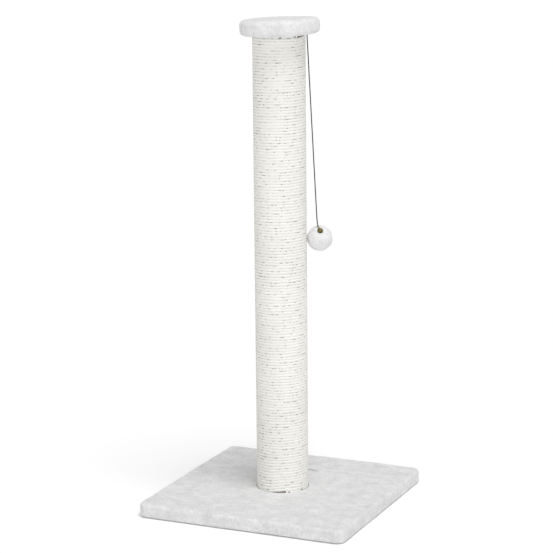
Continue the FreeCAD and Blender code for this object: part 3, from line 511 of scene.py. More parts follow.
def rope_rings(first_turn, last_turn):
    """The rope between two turns: grid points, and their UV (metres along, turns around).

    Middle line: a fixed radius at angle a, and a height that rises evenly with a, with slow
    noise added. Section at angle b: (cos b, sin b) with each part raised to the power SQUARENESS
    makes a rounded square. It is scaled by 1 - d + d |cos 1.5(b - c)|^0.7, where d is
    STRAND_DEPTH and c grows by one turn in each lay length: three strands that wind round each
    other. Its height is TALLNESS times more, because the turns are pressed together.
    """
    count = int(round((last_turn - first_turn) * STEPS_PER_TURN)) + 1
    turn = np.linspace(first_turn, last_turn, count)
    angle = ROPE_FIRST_ANGLE + 2 * np.pi * turn
    along = turn * 2 * np.pi * ROPE_MIDDLE_RADIUS
    track = np.stack([along, np.zeros(count), np.zeros(count)], -1)
    rise = 0.00012 * noise(track, 0.045) + 0.00010 * noise(track + 5.5, 0.012)
    even = turn - flat_start(turn) + flat_start(ROPE_TURNS - turn)
    level = ROPE_LOW + (ROPE_HIGH - ROPE_LOW) * even / ROPE_TURNS + rise
    girth = 1 + 0.04 * noise(track + 9.1, 0.02)
    outward = np.stack([np.cos(angle), np.sin(angle), np.zeros(count)], -1)
    up = np.array((0.0, 0.0, 1.0))
    middle = outward * ROPE_MIDDLE_RADIUS + up * level[:, None]
    around = np.linspace(0, 1, ROPE_SIDES, endpoint=False)
    b = 2 * np.pi * around[None, :]
    c = 2 * np.pi * along[:, None] / LAY_LENGTH
    lobes = np.abs(np.cos(1.5 * (b - c))) ** 0.7
    reach = (1 - STRAND_DEPTH + STRAND_DEPTH * lobes) * girth[:, None]
    flat = ROPE_RADIUS * reach * np.sign(np.cos(b)) * np.abs(np.cos(b)) ** SQUARENESS
    tall = TALLNESS * ROPE_RADIUS * reach * np.sign(np.sin(b)) * np.abs(np.sin(b)) ** SQUARENESS
    points = middle[:, None] + outward[:, None] * flat[..., None] + up * tall[..., None]
    uv = np.stack(np.broadcast_arrays(along[:, None], around[None, :]), -1)
    return points, uv


def rope_finish():
    """Cream fibres along the twist, with painted shade in spots in the gaps and at the cut ends."""
    rope = Recipe("bleached_sisal", roughness=0.85)
    split = rope.node("SeparateXYZ", {0: rope.place.outputs["UV"]})
    along, around = split.outputs[0], split.outputs[1]
    twisted = rope.math("SUBTRACT", around, rope.math("DIVIDE", along, LAY_LENGTH))
    fibre_place = rope.node("CombineXYZ", {0: rope.math("MULTIPLY", along, 70.0),
                                           1: rope.math("MULTIPLY", twisted, 42.0), 2: 0.0})
    fibres = rope.noise(1.0, 2.0, fibre_place.outputs[0])
    cream = rope.ramp(fibres, [(0.25, (0.765, 0.75, 0.695)), (0.5, (0.895, 0.885, 0.84)),
                               (0.8, (0.94, 0.935, 0.905))])
    # Painted shade: dark spots where neighbouring turns meet, in the gaps between them.
    beside = rope.math("ABSOLUTE", rope.math("SINE", rope.math("MULTIPLY", around, 2 * math.pi)))
    spots = rope.noise(1.0, 1.0, rope.stretched((150.0, 150.0, 190.0)))
    spotted = rope.ramp(spots, [(0.585, 0.0), (0.64, 1.0)])
    groove = rope.ramp(beside, [(0.55, 0.0), (0.9, 1.0)])
    # Painted shade: the last few millimetres at each cut end are coloured dark.
    half_long = math.pi * ROPE_MIDDLE_RADIUS * ROPE_TURNS
    from_middle = rope.math("ABSOLUTE", rope.math("SUBTRACT", along, half_long))
    cut_end_painted_shade = rope.math("GREATER_THAN", from_middle, half_long + 0.0026)
    dark = rope.math("MAXIMUM", rope.math("MULTIPLY", spotted, groove), cut_end_painted_shade)
    colour = rope.mix(dark, cream, (0.12, 0.105, 0.085))
    worn = rope.mix(1.0, colour, rope.ramp(rope.noise(9.0, 2.0), [(0.3, 0.95), (0.7, 1.02)]),
                    "MULTIPLY")
    return rope.finish(worn, fibres, 0.0003, 0.8)


sisal = rope_finish()
cuts = np.linspace(0, ROPE_TURNS, ROPE_PIECES + 1)
cuts[0] -= ROPE_END_REACH
cuts[-1] += ROPE_END_REACH
for index in range(ROPE_PIECES):
    points, uv = rope_rings(cuts[index], cuts[index + 1])
    piece = grid_piece(f"sisal_rope_{index + 1}", points, ends="caps", uv=uv)
    dress(piece, sisal, "stand", "sisal", *(["sisal_rope"] if index == 0 else []))
    print(piece.name, len(piece.data.polygons), "faces")

# %% [markdown]
# The base is a board with short plush drawn over its edges and stapled underneath. The plush is
# one closed skin: a rounded square that is carried in from the turned hem, round the edge and
# over the top to the dent under the post, where the pile is squeezed up against the rope, and
# back along the board. Every ring of the skin has the same number of points, so the rings can
# shrink from a square to a circle without a seam. A short cut in the plush behind the post is a
# groove in the skin, and the finish paints the shade inside it dark grey.

# %% Plush base
BASE_HALF = span("base_cover", 0)[1]
HEM_LEVEL, BASE_TOP = span("base_cover", 2)
BOARD_LOW, BOARD_HIGH = span("base_board", 2)
POST_BASE, POST_TOP = span("post_tube", 2)
PILE = BASE_HALF - span("base_board", 0)[1]
BASE_CORNER, HEM_REACH, HEM_TURN, HEM_DROP = 0.017, 0.032, 0.0105, 0.0013
LOW_ROUND, TOP_ROUND, SIDE_LOW, SIDE_HIGH = 0.003, 0.0065, 0.0045, 0.0198
LIP_RADIUS, LIP_RISE, LIP_WIDTH, DENT_RADIUS, BOLT_BORE = 0.0494, 0.0009, 0.004, 0.0482, 0.0045


def square_ring(inset, level):
    """A rounded square: four sides and four quarter circles, each with its share of points.

    The sides stand at BASE_HALF - inset, and the corner radius shrinks by the same inset.
    """
    half, corner = BASE_HALF - inset, max(BASE_CORNER - inset, 0.004)
    side_share, arc_share = 168, 12
    flat = half - corner
    t = np.arange(side_share) / side_share
    side = np.stack([-flat + 2 * flat * t, np.full(side_share, -half)], -1)
    a = -np.pi / 2 + np.pi / 2 * np.arange(arc_share) / arc_share
    arc = np.stack([flat + corner * np.cos(a), -flat + corner * np.sin(a)], -1)
    quarter = np.concatenate([side, arc])
    rings = []
    for turn in range(4):
        c, s = round(math.cos(turn * math.pi / 2)), round(math.sin(turn * math.pi / 2))
        rings.append(quarter @ np.array(((c, s), (-s, c))))
    ring = np.concatenate(rings)
    return np.concatenate([ring, np.full((len(ring), 1), level)], 1)


def round_ring(radius, level):
    """A circle whose points lie in the same directions as the square's."""
    square = square_ring(0, level)[:, :2]
    circle = square / np.linalg.norm(square, axis=1, keepdims=True) * radius
    return np.concatenate([circle, np.full((len(circle), 1), level)], 1)


def base_skin():
    """All rings of the closed skin, and how free each one is to be ruffled, from 0 to 1."""
    rings, free = [], []

    def add(ring, loose):
        """Takes one more ring into the skin."""
        rings.append(ring)
        free.append(loose)

    for inset in np.linspace(HEM_REACH, HEM_TURN, 6):
        add(square_ring(inset, HEM_LEVEL), 0.15)
    for inset, drop in ((0.008, 0.0004), (0.006, HEM_DROP)):
        add(square_ring(inset, HEM_LEVEL - drop), 0.15)
    hem_low = HEM_LEVEL - HEM_DROP
    for a in np.radians((0, 30, 60)):
        add(square_ring(LOW_ROUND * (1 - math.sin(a)), hem_low + LOW_ROUND * (1 - math.cos(a))),
            0.3)
    for level in np.linspace(SIDE_LOW, SIDE_HIGH, 9):
        add(square_ring(0, level), 1)
    for a in np.radians((15, 30, 45, 60, 75)):
        add(square_ring(TOP_ROUND * (1 - math.cos(a)), SIDE_HIGH + TOP_ROUND * math.sin(a)), 1)
    outer, inner = square_ring(TOP_ROUND, BASE_TOP), round_ring(LIP_RADIUS, BASE_TOP)
    for t in np.append(np.linspace(0, 0.95, 80), (0.965, 0.977, 0.988, 0.994, 1)):
        ring = outer * (1 - t) + inner * t
        squeezed = (np.linalg.norm(ring[:, :2], axis=1) - LIP_RADIUS) / LIP_WIDTH
        ring[:, 2] += LIP_RISE * np.exp(-squeezed ** 2)
        add(ring, 1)
    for radius, rise in ((0.0488, 0.0007), (0.0484, 0.0001)):
        add(round_ring(radius, BASE_TOP + rise), 0.5)
    for radius, level in ((DENT_RADIUS, 0.0252), (DENT_RADIUS, POST_BASE), (BOLT_BORE, POST_BASE),
                          (BOLT_BORE, BOARD_HIGH), (0.05, BOARD_HIGH), (0.12, BOARD_HIGH)):
        add(round_ring(radius, level), 0)
    for inset, level in ((PILE, BOARD_HIGH), (PILE, BOARD_LOW), (HEM_REACH, BOARD_LOW)):
        add(square_ring(inset, level), 0)
    return np.array(rings), np.array(free)


SLIT_START, SLIT_END = np.array((0.0030, 0.1097)), np.array((0.0250, 0.1060))
SLIT_WIDTH, SLIT_DEPTH = 0.0022, 0.003


def slit_share(points):
    """The cut's share of its depth: exp(-(d / w)^2) at a distance d from the line of the cut."""
    way = SLIT_END - SLIT_START
    t = np.clip(((points[..., :2] - SLIT_START) @ way) / (way @ way), 0, 1)
    nearest = SLIT_START + t[..., None] * way
    away = np.linalg.norm(points[..., :2] - nearest, axis=-1)
    return np.exp(-(away / SLIT_WIDTH) ** 2)


skin, freedom = base_skin()
normals = outward_normals(skin)
ruffle = 0.00045 * layered(skin, 0.012, 3) + 0.00025 * noise(skin + 2.2, 0.0035)
wave = 0.0006 * noise(skin + 8.8, 0.07)
height = (ruffle + wave - 0.0002 - SLIT_DEPTH * slit_share(skin)) * freedom[:, None]
base_points = skin + normals * height[..., None]
base_points[..., 2] = np.maximum(base_points[..., 2], HEM_LEVEL - HEM_DROP)
plush_base = grid_piece("plush_base", base_points, ends="loop")
print("plush base:", len(plush_base.data.polygons), "faces")

# %% [markdown]
# Plush is a mat of short upright fibres. Close up it is mottled, because clumps of fibres lean
# in different directions and catch the light differently. Hair could stand for every fibre, but
# it would need more faces than the whole post, so the finish does it: it mixes four sizes of
# noise for the colour, adds a fine bump for the fibres, and a little sheen.

# %% Plush finish
def plush_finish(name, low, high, slit=False):
    """Pile between two greys, and painted shade in the cut where the base has one.

    Large blotches, streaks and clumps of fibres are added, and their sum picks the grey. The
    shade in the cut is painted: the colour is dark grey where the distance to its line is small.
    The line is start + t way, and t is the place's own way from the start, projected on the line
    and kept between 0 and 1.
    """
    plush = Recipe(name, roughness=0.95, Sheen_Weight=0.3, Sheen_Roughness=0.4)
    blotches = plush.noise(38.0, 2.0)
    streaks = plush.noise(1.0, 2.0, plush.stretched((50.0, 105.0, 70.0)))
    clumps = plush.noise(190.0, 3.0)
    fibres = plush.noise(900.0, 4.0, roughness=0.65)
    large = plush.math("ADD", plush.math("MULTIPLY", blotches, 0.33),
                       plush.math("MULTIPLY", streaks, 0.22))
    small = plush.math("ADD", plush.math("MULTIPLY", clumps, 0.33),
                       plush.math("MULTIPLY", fibres, 0.12))
    colour = plush.ramp(plush.math("ADD", large, small), [(0.38, low), (0.62, high)])
    colour = plush.mix(1.0, colour, plush.ramp(fibres, [(0.36, 0.88), (0.6, 1.0)]), "MULTIPLY")
    # Painted shade: near the cut's line the colour turns dark grey, for the shade inside the cut.
    if slit:
        way = SLIT_END - SLIT_START
        local = plush.node("VectorMath", {0: plush.place.outputs["Object"],
                                          1: (*SLIT_START, BASE_TOP)}, operation="SUBTRACT")
        t = plush.node("VectorMath", {0: local.outputs[0], 1: (*(way / (way @ way)), 0)},
                       operation="DOT_PRODUCT")
        kept = plush.node("Clamp", {0: t.outputs["Value"]})
        on_line = plush.node("VectorMath", {0: (*way, 0), 3: kept.outputs[0]}, operation="SCALE")
        away = plush.node("VectorMath", {0: local.outputs[0], 1: on_line.outputs[0]},
                          operation="DISTANCE")
        near = plush.ramp(plush.math("MULTIPLY", away.outputs["Value"], 100.0),
                          [(0.15, 1.0), (0.36, 0.0)])
        colour = plush.mix(near, colour, (0.18, 0.18, 0.185))
    bump = plush.math("ADD", fibres, plush.math("MULTIPLY", clumps, 0.7))
    return plush.finish(colour, bump, 0.0007, 0.8)


plush_with_slit_shade = plush_finish("plush_grey_with_painted_slit_shade", (0.65, 0.65, 0.655), (0.86, 0.86, 0.86), True)
plush_grey = plush_finish("plush_grey", (0.71, 0.71, 0.715), (0.89, 0.89, 0.89))
dress(plush_base, plush_with_slit_shade, "stand", "plush", "base_cover")
print("plush finish ready")

# %% [markdown]
# The cap is a board with foam on it, under plush that is drawn round the edge and stapled below.
# Its skin is turned like a bowl on a wheel: one outline of radius and height, carried round. The
# padding isn't even on the real one. It bulges to one side and sits a little higher there, so the
# outer skin is shifted and tilted, while the parts that touch the board and the rope stay put.
# Below, the plush hangs by a millimetre, except near the cord, and it is dented by the knot.

# %% Plush cap
CAP_RADIUS, CAP_BOARD_RADIUS = span("cap_cover", 0)[1], span("cap_board", 0)[1]
CAP_LOW, CAP_TOP = span("cap_cover", 2)
FOAM_LOW, FOAM_TOP = span("cap_foam", 2)
HEM_BORE, CAP_FLAT, CAP_TOP_ROUND, CAP_LOW_ROUND = 0.0456, 0.063, 0.0085, 0.0075
CAP_SWELL, CAP_DOMING, SIDE_DROP, SIDE_LIFT, AROUND_CAP = 0.0012, 0.0006, 0.0106, 0.0086, 400
LEAN_AZIMUTH, LEAN_SHIFT, LEAN_TILT, BACK_TILT = 24.1, 0.0016, 1.9, 1.2
HANG, KNOT_DENT = 0.001, 0.0026


def cap_outline():
    """Corners of (radius, height, freedom) from the top's middle, outside, below, and inside."""
    full_top = CAP_TOP + CAP_SWELL
    rows = [(r, full_top - CAP_DOMING * (r / CAP_FLAT) ** 4, 1.0)
            for r in np.linspace(0.0012, CAP_FLAT, 40)]
    for a in np.radians(np.arange(10, 91, 10)):
        rows.append((CAP_FLAT + CAP_TOP_ROUND * math.sin(a),
                     full_top - CAP_DOMING - CAP_TOP_ROUND * (1 - math.cos(a)), 1.0))
    for level in np.linspace(full_top - SIDE_DROP, CAP_LOW + SIDE_LIFT, 6):
        rows.append((CAP_RADIUS, level, 1.0))
    for a in np.radians(np.arange(0, 90, 15)):
        rows.append((CAP_RADIUS - CAP_LOW_ROUND * (1 - math.cos(a)),
                     CAP_LOW + CAP_LOW_ROUND * (1 - math.sin(a)), 0.8))
    for r in np.linspace(CAP_RADIUS - 0.0085, HEM_BORE, 14):
        rows.append((r, CAP_LOW, 0.1))
    rows += [(HEM_BORE, POST_TOP, 0.0), (0.056, POST_TOP, 0.0), (CAP_BOARD_RADIUS, POST_TOP, 0.0),
             (CAP_BOARD_RADIUS, 0.872, 0.0), (CAP_BOARD_RADIUS, FOAM_TOP, 0.0),
             (0.03, FOAM_TOP, 0.0), (0.001, FOAM_TOP, 0.0)]
    return np.array(rows)


def turned_grid(outline, columns):
    """Points (r cos a, r sin a, z) for every corner of the outline and every angle a."""
    a = np.linspace(0, 2 * np.pi, columns, endpoint=False)
    r, z = outline[:, 0, None], outline[:, 1, None]
    return np.stack([r * np.cos(a), r * np.sin(a), np.broadcast_to(z, (len(outline), columns))], -1)


def leaned(points, free):
    """Shifts free points sideways and lifts them by their distance along that same direction.

    A point is free if its freedom is above 0. Below the board that fades in between 48 and 58 mm
    from the middle. The top also drops towards the back, by its distance in that direction.
    """
    azimuth = math.radians(LEAN_AZIMUTH)
    side = np.array((math.cos(azimuth), math.sin(azimuth)))
    back = np.array((-side[1], side[0]))
    radius = np.linalg.norm(points[..., :2], axis=-1)
    t = np.clip((radius - 0.048) / 0.010, 0, 1)
    under = points[..., 2] < POST_TOP
    share = np.where(under, t * t * (3 - 2 * t), 1.0) * (free > 0)
    topness = np.clip((points[..., 2] - CAP_LOW) / (CAP_TOP - CAP_LOW), 0, 1)
    lift = math.tan(math.radians(LEAN_TILT)) * (points[..., :2] @ side)
    lift = lift - math.tan(math.radians(BACK_TILT)) * (points[..., :2] @ back) * topness
    moved = points.copy()
    moved[..., :2] += LEAN_SHIFT * side * share[..., None]
    moved[..., 2] += lift * share
    return moved


outline = cap_outline()
cap_skin = turned_grid(outline, AROUND_CAP)
cap_free = outline[:, 2, None]
cap_height = 0.0004 * layered(cap_skin, 0.011, 3) + 0.0006 * noise(cap_skin + 4.4, 0.04)
cap_points = cap_skin - outward_normals(cap_skin) * (cap_height * cap_free)[..., None]
cap_points = leaned(cap_points, cap_free)
knot_near = np.linalg.norm(cap_skin[..., :2] - np.array(TOP_KNOT[:2]), axis=-1)
low_level = np.clip((CAP_LOW + CAP_LOW_ROUND - cap_skin[..., 2]) / CAP_LOW_ROUND, 0, 1)
low_level = low_level * (cap_free > 0)
past_rope = np.clip((np.linalg.norm(cap_skin[..., :2], axis=-1) - 0.049) / 0.006, 0, 1)
hang = HANG * low_level * past_rope * (1 - np.exp(-(knot_near / 0.02) ** 4))
dent = KNOT_DENT * (low_level > 0.9) * np.exp(-(knot_near / KNOT_DENT) ** 4)
cap_points[..., 2] += dent - hang
plush_cap = grid_piece("plush_cap", cap_points, ends="poles")
dress(plush_cap, plush_grey, "stand", "plush", "cap_cover")
print("plush cap:", len(plush_cap.data.polygons), "faces")

# %% [markdown]
# The toy is a stuffed ball in the same plush, with the bell sewn to its front near the top. It is
# a sphere on a grid of two angles, ruffled by noise. Where the bell sits, the skin stays behind
# the bell, and it is pressed flat where it faces the rope.

# %% Toy ball
BALL_CENTRE = np.array((0.064537, 0.028869, 0.4908))
BALL_RADIUS, BALL_PILE, NEAREST_POST = 0.0228, 0.0002, 0.04785
BELL_ROOM, LOOP_ROOM, STUFFING_RADIUS = 0.0004, 0.0024, 0.0160
BELL_CENTRE = np.array((0.071195, 0.015279, 0.507315))
BELL_AXIS = np.array((-0.586, 0.337, 0.737))
BELL_LOOP = np.array((0.06733, 0.017502, 0.512181))
BELL_RADIUS = 0.005


def sphere_grid(centre, radius, rows, columns):
    """A sphere's points and directions: polar angle down the rows, azimuth along the columns."""
    down = np.linspace(POLE_GAP, np.pi - POLE_GAP, rows)[:, None]
    turn = np.linspace(0, 2 * np.pi, columns, endpoint=False)[None, :]
    unit = np.stack([np.sin(down) * np.cos(turn), np.sin(down) * np.sin(turn),
                     np.cos(down) + 0 * turn], -1)
    return centre + unit * radius, unit


def in_front_of(unit, reach, centre, radius):
    """How far a skin may reach from BALL_CENTRE, in each direction, before it meets a sphere.

    With d the way to the sphere's centre and u a direction, the first meeting is at
    u.d - sqrt(radius^2 - (|d|^2 - (u.d)^2)), and where the root is of a negative there is none.
    """
    way = centre - BALL_CENTRE
    along = unit @ way
    room = radius ** 2 - (way @ way - along ** 2)
    meeting = along - np.sqrt(np.maximum(room, 0))
    return np.where((room > 0) & (along > 0), np.minimum(reach, meeting), reach)


ball_grid, ball_unit = sphere_grid(BALL_CENTRE, BALL_RADIUS + BALL_PILE, 150, 240)
fuzz = 0.0005 * layered(ball_grid, 0.008, 3) + 0.0004 * noise(ball_grid + 6.6, 0.0022)
ball_reach = BALL_RADIUS + BALL_PILE + fuzz
ball_reach = in_front_of(ball_unit, ball_reach, BELL_CENTRE, BELL_RADIUS + BELL_ROOM)
ball_reach = in_front_of(ball_unit, ball_reach, BELL_LOOP, LOOP_ROOM)
ball_points = BALL_CENTRE + ball_unit * ball_reach[..., None]
from_post = np.linalg.norm(ball_points[..., :2], axis=-1, keepdims=True)
ball_points[..., :2] *= np.maximum(from_post, NEAREST_POST) / from_post
plush_ball = grid_piece("plush_ball", ball_points[:, ::-1], ends="poles")
plush_white = plush_finish("plush_white", (0.76, 0.755, 0.765), (0.87, 0.865, 0.87))
dress(plush_ball, plush_white, "toy", "plush", "ball_cover")
print("ball:", len(plush_ball.data.polygons), "faces")

# %% [markdown]
# Inside the ball is a wad of polyester fibre. It only shows if the cover is taken off, so a
# lumpy sphere is enough, and noise that is stretched one way gives the look of combed fibre.

# %% Stuffing
stuffing_grid, stuffing_unit = sphere_grid(BALL_CENTRE, STUFFING_RADIUS, 70, 110)
lumps = 0.0004 * layered(stuffing_grid + 1.9, 0.006, 3)
stuffing_points = stuffing_grid + stuffing_unit * lumps[..., None]
stuffing = grid_piece("fibre_stuffing", stuffing_points[:, ::-1], ends="poles")
fibre = Recipe("polyester_fibre", roughness=0.9, Sheen_Weight=0.2)
strands = fibre.noise(1.0, 4.0, fibre.stretched((500.0, 120.0, 260.0)))
dress(stuffing, fibre.finish(fibre.ramp(strands, [(0.3, (0.74, 0.74, 0.73)),
                                                  (0.7, (0.93, 0.93, 0.92))]), strands, 0.0008),
      "toy", "stuffing", "ball_stuffing")
print("stuffing:", len(stuffing.data.polygons), "faces")

# %% [markdown]
# The bell is a small jingle bell. Two cups of thin brass meet in a rolled seam, the lower cup has
# a slot with a round hole at each end, and a steel pellet rattles inside. Each cup is an outline
# that is turned round the bell's axis: out along the outer wall, round the seam and back along
# the inner wall. The slot is cut with a modifier, because a grid can't have holes in it.

# %% Bell shells
BELL_WALL, SEAM_REACH, SEAM_HEIGHT = 0.0004, 0.00012, 0.0003
SLOT_WIDTH, SLOT_PEG, SLOT_REACH = 0.0012, 0.0009, 0.0029


def frame_of(axis):
    """Three unit directions: the axis is the third, and the first is level."""
    third = np.array(axis) / np.linalg.norm(axis)
    first = np.cross((0.0, 0.0, 1.0), third)
    first /= np.linalg.norm(first)
    return np.stack([first, np.cross(third, first), third])


def cup_outline(side):
    """(radius, height) along one cup: r = R sin a and z = R cos a outside, R - wall inside."""
    a = np.linspace(0.03, np.pi / 2 - 0.06, 26)
    outer = np.stack([BELL_RADIUS * np.sin(a), BELL_RADIUS * np.cos(a)], -1)
    within = BELL_RADIUS - BELL_WALL
    seam = np.array([(BELL_RADIUS + SEAM_REACH, SEAM_HEIGHT), (BELL_RADIUS + SEAM_REACH, 0.0),
                     (within, 0.0)])
    inner = np.stack([within * np.sin(a), within * np.cos(a)], -1)[::-1]
    outline = np.concatenate([outer, seam, inner])
    outline[:, 1] *= side
    return outline


def bell_cup(name, side):
    """A cup on the side of the bell that its axis points to (1) or away from (-1)."""
    turned = turned_grid(cup_outline(side), 64) @ frame_of(BELL_AXIS) + BELL_CENTRE
    return grid_piece(name, turned if side < 0 else turned[:, ::-1], ends="poles")


upper_cup = bell_cup("bell_cup_upper", 1)
lower_cup = bell_cup("bell_cup_lower", -1)
print("cups:", len(upper_cup.data.polygons), "faces each")

# %% [markdown]
# The cutter for the slot is a bar with a round peg at each end, made as one outline in the plane
# across the axis and carried along it, through the wall and no further.

# %% Bell slot
def slot_cutter():
    """A flat dumb-bell outline, drawn between two heights below the bell's middle.

    A circle of the peg's radius at each end is open towards the middle by the angle whose sine is
    half the slot's width over that radius, and the bar joins the two openings.
    """
    opening = math.asin(SLOT_WIDTH / 2 / SLOT_PEG)
    a = np.linspace(-np.pi + opening, np.pi - opening, 20)
    right = np.stack([SLOT_REACH + SLOT_PEG * np.cos(a), SLOT_PEG * np.sin(a)], -1)
    outline = np.concatenate([right, right * (-1, -1)])
    rings = [np.concatenate([outline, np.full((len(outline), 1), z)], 1)
             for z in (-1.2 * BELL_RADIUS, -0.55 * BELL_RADIUS)]
    return np.array(rings) @ frame_of(BELL_AXIS) + BELL_CENTRE


cutter = grid_piece("slot_cutter", slot_cutter(), ends="caps")
cut = lower_cup.modifiers.new("slot", "BOOLEAN")
cut.object, cut.operation, cut.solver = cutter, "DIFFERENCE", "EXACT"
bpy.context.view_layer.update()
seen_by = bpy.context.evaluated_depsgraph_get()
slotted = bpy.data.meshes.new_from_object(lower_cup.evaluated_get(seen_by))
lower_cup.modifiers.clear()
lower_cup.data = slotted
bpy.data.objects.remove(cutter)
print("slotted cup:", len(lower_cup.data.polygons), "faces")

# %% [markdown]
# The loop on the upper cup is a ring of wire, and the pellet is a steel ball that rests at the
# bottom of the bell. Old brass is dark in its hollows and shines a little where it is touched.

# %% Bell loop, pellet and metals
PELLET_CENTRE, PELLET_RADIUS = BELL_CENTRE - (0.0, 0.0, 0.002524), 0.00158
LOOP_RADIUS, LOOP_WIRE = 0.0016, 0.00042


def wire_ring(centre, axis, radius, wire):
    """A torus round an axis: ((R + r cos b) cos a, (R + r cos b) sin a, r sin b), turned."""
    a = np.linspace(0, 2 * np.pi, 72, endpoint=False)[:, None]
    b = np.linspace(0, 2 * np.pi, 20, endpoint=False)[None, :]
    reach = radius + wire * np.cos(b)
    ring = np.stack([reach * np.cos(a), reach * np.sin(a), wire * np.sin(b) + 0 * a], -1)
    return ring @ frame_of(axis) + centre


loop_axis = np.cross(BELL_AXIS, (0.0, 0.0, 1.0))
bell_loop = grid_piece("bell_wire_loop",
                       wire_ring(BELL_LOOP, loop_axis, LOOP_RADIUS, LOOP_WIRE), ends="loop")
pellet_grid, _ = sphere_grid(PELLET_CENTRE, PELLET_RADIUS, 28, 40)
pellet = grid_piece("bell_steel_pellet", pellet_grid[:, ::-1], ends="poles")

brass = Recipe("old_brass", roughness=0.4, metallic=1.0)
tarnish = brass.noise(420.0, 4.0)
brass_finish = brass.finish(brass.ramp(tarnish, [(0.35, (0.09, 0.07, 0.028)),
                                                 (0.7, (0.30, 0.235, 0.09))]), tarnish, 0.0001, 0.4,
                            brass.ramp(tarnish, [(0.3, 0.6), (0.7, 0.35)]))
for cup, node in ((upper_cup, "bell_upper_shell"), (lower_cup, "bell_lower_shell"),
                  (bell_loop, "bell_loop")):
    dress(cup, brass_finish, "toy", "brass", node)

ground = Recipe("ground_steel", roughness=0.3, metallic=1.0)
scuffs = ground.noise(1500.0, 3.0)
dress(pellet, ground.finish(ground.ramp(scuffs, [(0.3, (0.45, 0.45, 0.46)),
                                                 (0.7, (0.68, 0.68, 0.69))]), scuffs, 0.00005),
      "pellet", "pellet_steel", "bell_pellet")
print("bell dressed")

# %% [markdown]
# Under the cap's plush lies a ring of open foam, and a thin black fabric closes the base from
# below. The fabric could be simulated, but it is stapled flat all round, so it can only sag a
# little. Both are outlines carried round as before: a turned one for the foam, and one that
# changes from a circle to a rounded square for the fabric, with its bolt hole in the middle.

# %% Foam and liner
FOAM_HOLE, FOAM_RIM, FOAM_ROUND = 0.0111, 0.0669, 0.0006
LINER_LEVEL, LINER_THICK, LINER_HOLE, LINER_INSET = 0.0021, 0.0006, 0.0170, 0.0105


def foam_outline():
    """(radius, height): a ring's section with its corners rounded."""
    low, high, hole, rim = FOAM_LOW + 0.0001, FOAM_TOP, FOAM_HOLE, FOAM_RIM
    corners = ((rim, high, 0), (rim, low, -90), (hole, low, 180), (hole, high, 90))
    rows = []
    for r, z, start in corners:
        x = r - FOAM_ROUND if r == rim else r + FOAM_ROUND
        y = z + FOAM_ROUND if z == low else z - FOAM_ROUND
        for a in np.radians((start + 90, start + 45, start)):
            rows.append((x + FOAM_ROUND * math.cos(a), y + FOAM_ROUND * math.sin(a)))
        if r == rim and z == low:
            rows += [(x, low) for x in np.linspace(rim - 0.002, hole + 0.002, 20)]
    rows += [(x, high) for x in np.linspace(hole + 0.002, rim - 0.002, 20)]
    return np.array(rows)


foam_points = turned_grid(foam_outline(), 240)
foam_points = foam_points + 0.0001 * noise(foam_points, 0.004)[..., None]
foam = grid_piece("foam_pad", foam_points[:, ::-1], ends="loop")
cells = Recipe("open_foam", roughness=1.0)
pores = cells.node("TexVoronoi", {"Vector": cells.place.outputs["Object"], "Scale": 900.0})
pore_shade = cells.ramp(pores.outputs["Distance"], [(0.1, (0.52, 0.47, 0.3)),
                                                    (0.5, (0.84, 0.8, 0.62))])
dress(foam, cells.finish(pore_shade, pores.outputs["Distance"], 0.0004, 0.8), "stand", "foam",
      "cap_foam")

liner_rings = [round_ring(LINER_HOLE + 0.0004 * t, LINER_LEVEL) for t in (0, 1)]
liner_rings += [round_ring(r, LINER_LEVEL) for r in np.linspace(0.019, 0.1, 24)]
outer_liner = square_ring(LINER_INSET, LINER_LEVEL)
liner_rings += [liner_rings[-1] * (1 - t) + outer_liner * t for t in np.linspace(0.04, 1, 30)]
under = np.array(liner_rings)
sag = 0.00008 * (1 + noise(under, 0.03))
under[..., 2] -= sag
over = under[::-1] + (0, 0, LINER_THICK)
liner = grid_piece("liner_fabric", np.concatenate([under, over])[:, ::-1], ends="loop")
bonded = Recipe("bonded_black_fabric", roughness=0.85)
dots = bonded.node("TexVoronoi", {"Vector": bonded.place.outputs["Object"], "Scale": 520.0,
                                  "Randomness": 0.15})
hairs = bonded.noise(1.0, 3.0, bonded.stretched((1400.0, 260.0, 600.0)))
liner_shade = bonded.ramp(bonded.math("ADD", bonded.math("MULTIPLY", hairs, 0.6),
                                      bonded.math("MULTIPLY", dots.outputs["Distance"], 0.4)),
                          [(0.25, (0.012, 0.012, 0.013)), (0.7, (0.045, 0.045, 0.048))])
dress(liner, bonded.finish(liner_shade, dots.outputs["Distance"], 0.0003, 0.7), "stand",
      "black_liner", "base_liner")
print("foam and liner:", len(foam.data.polygons), "and", len(liner.data.polygons), "faces")

# %% [markdown]
# The base stands on four discs of black felt. Felt has no weave, only short matted fibres and a
# soft cut edge, so each disc is turned with a round edge and roughened by noise.

# %% Felt pads
PAD_PLACE, PAD_FLAT, PAD_ROUND = 0.154, 0.0132, 0.0007
PAD_LOW, PAD_HIGH, HIGHEST_FELT = 0.0001, 0.0019, 0.00199


def felt_outline():
    """(radius, height): up through the disc's thickness, with its edge rounded twice."""
    flat = np.linspace(0.0006, PAD_FLAT, 12)
    rows = [(r, PAD_LOW) for r in flat]
    for middle, angles in ((PAD_LOW + PAD_ROUND, (30, 60, 90)),
                           (PAD_HIGH - PAD_ROUND, (90, 120, 150))):
        rows += [(PAD_FLAT + PAD_ROUND * math.sin(a), middle - PAD_ROUND * math.cos(a))
                 for a in np.radians(angles)]
    rows += [(r, PAD_HIGH) for r in flat[::-1]]
    return np.array(rows)


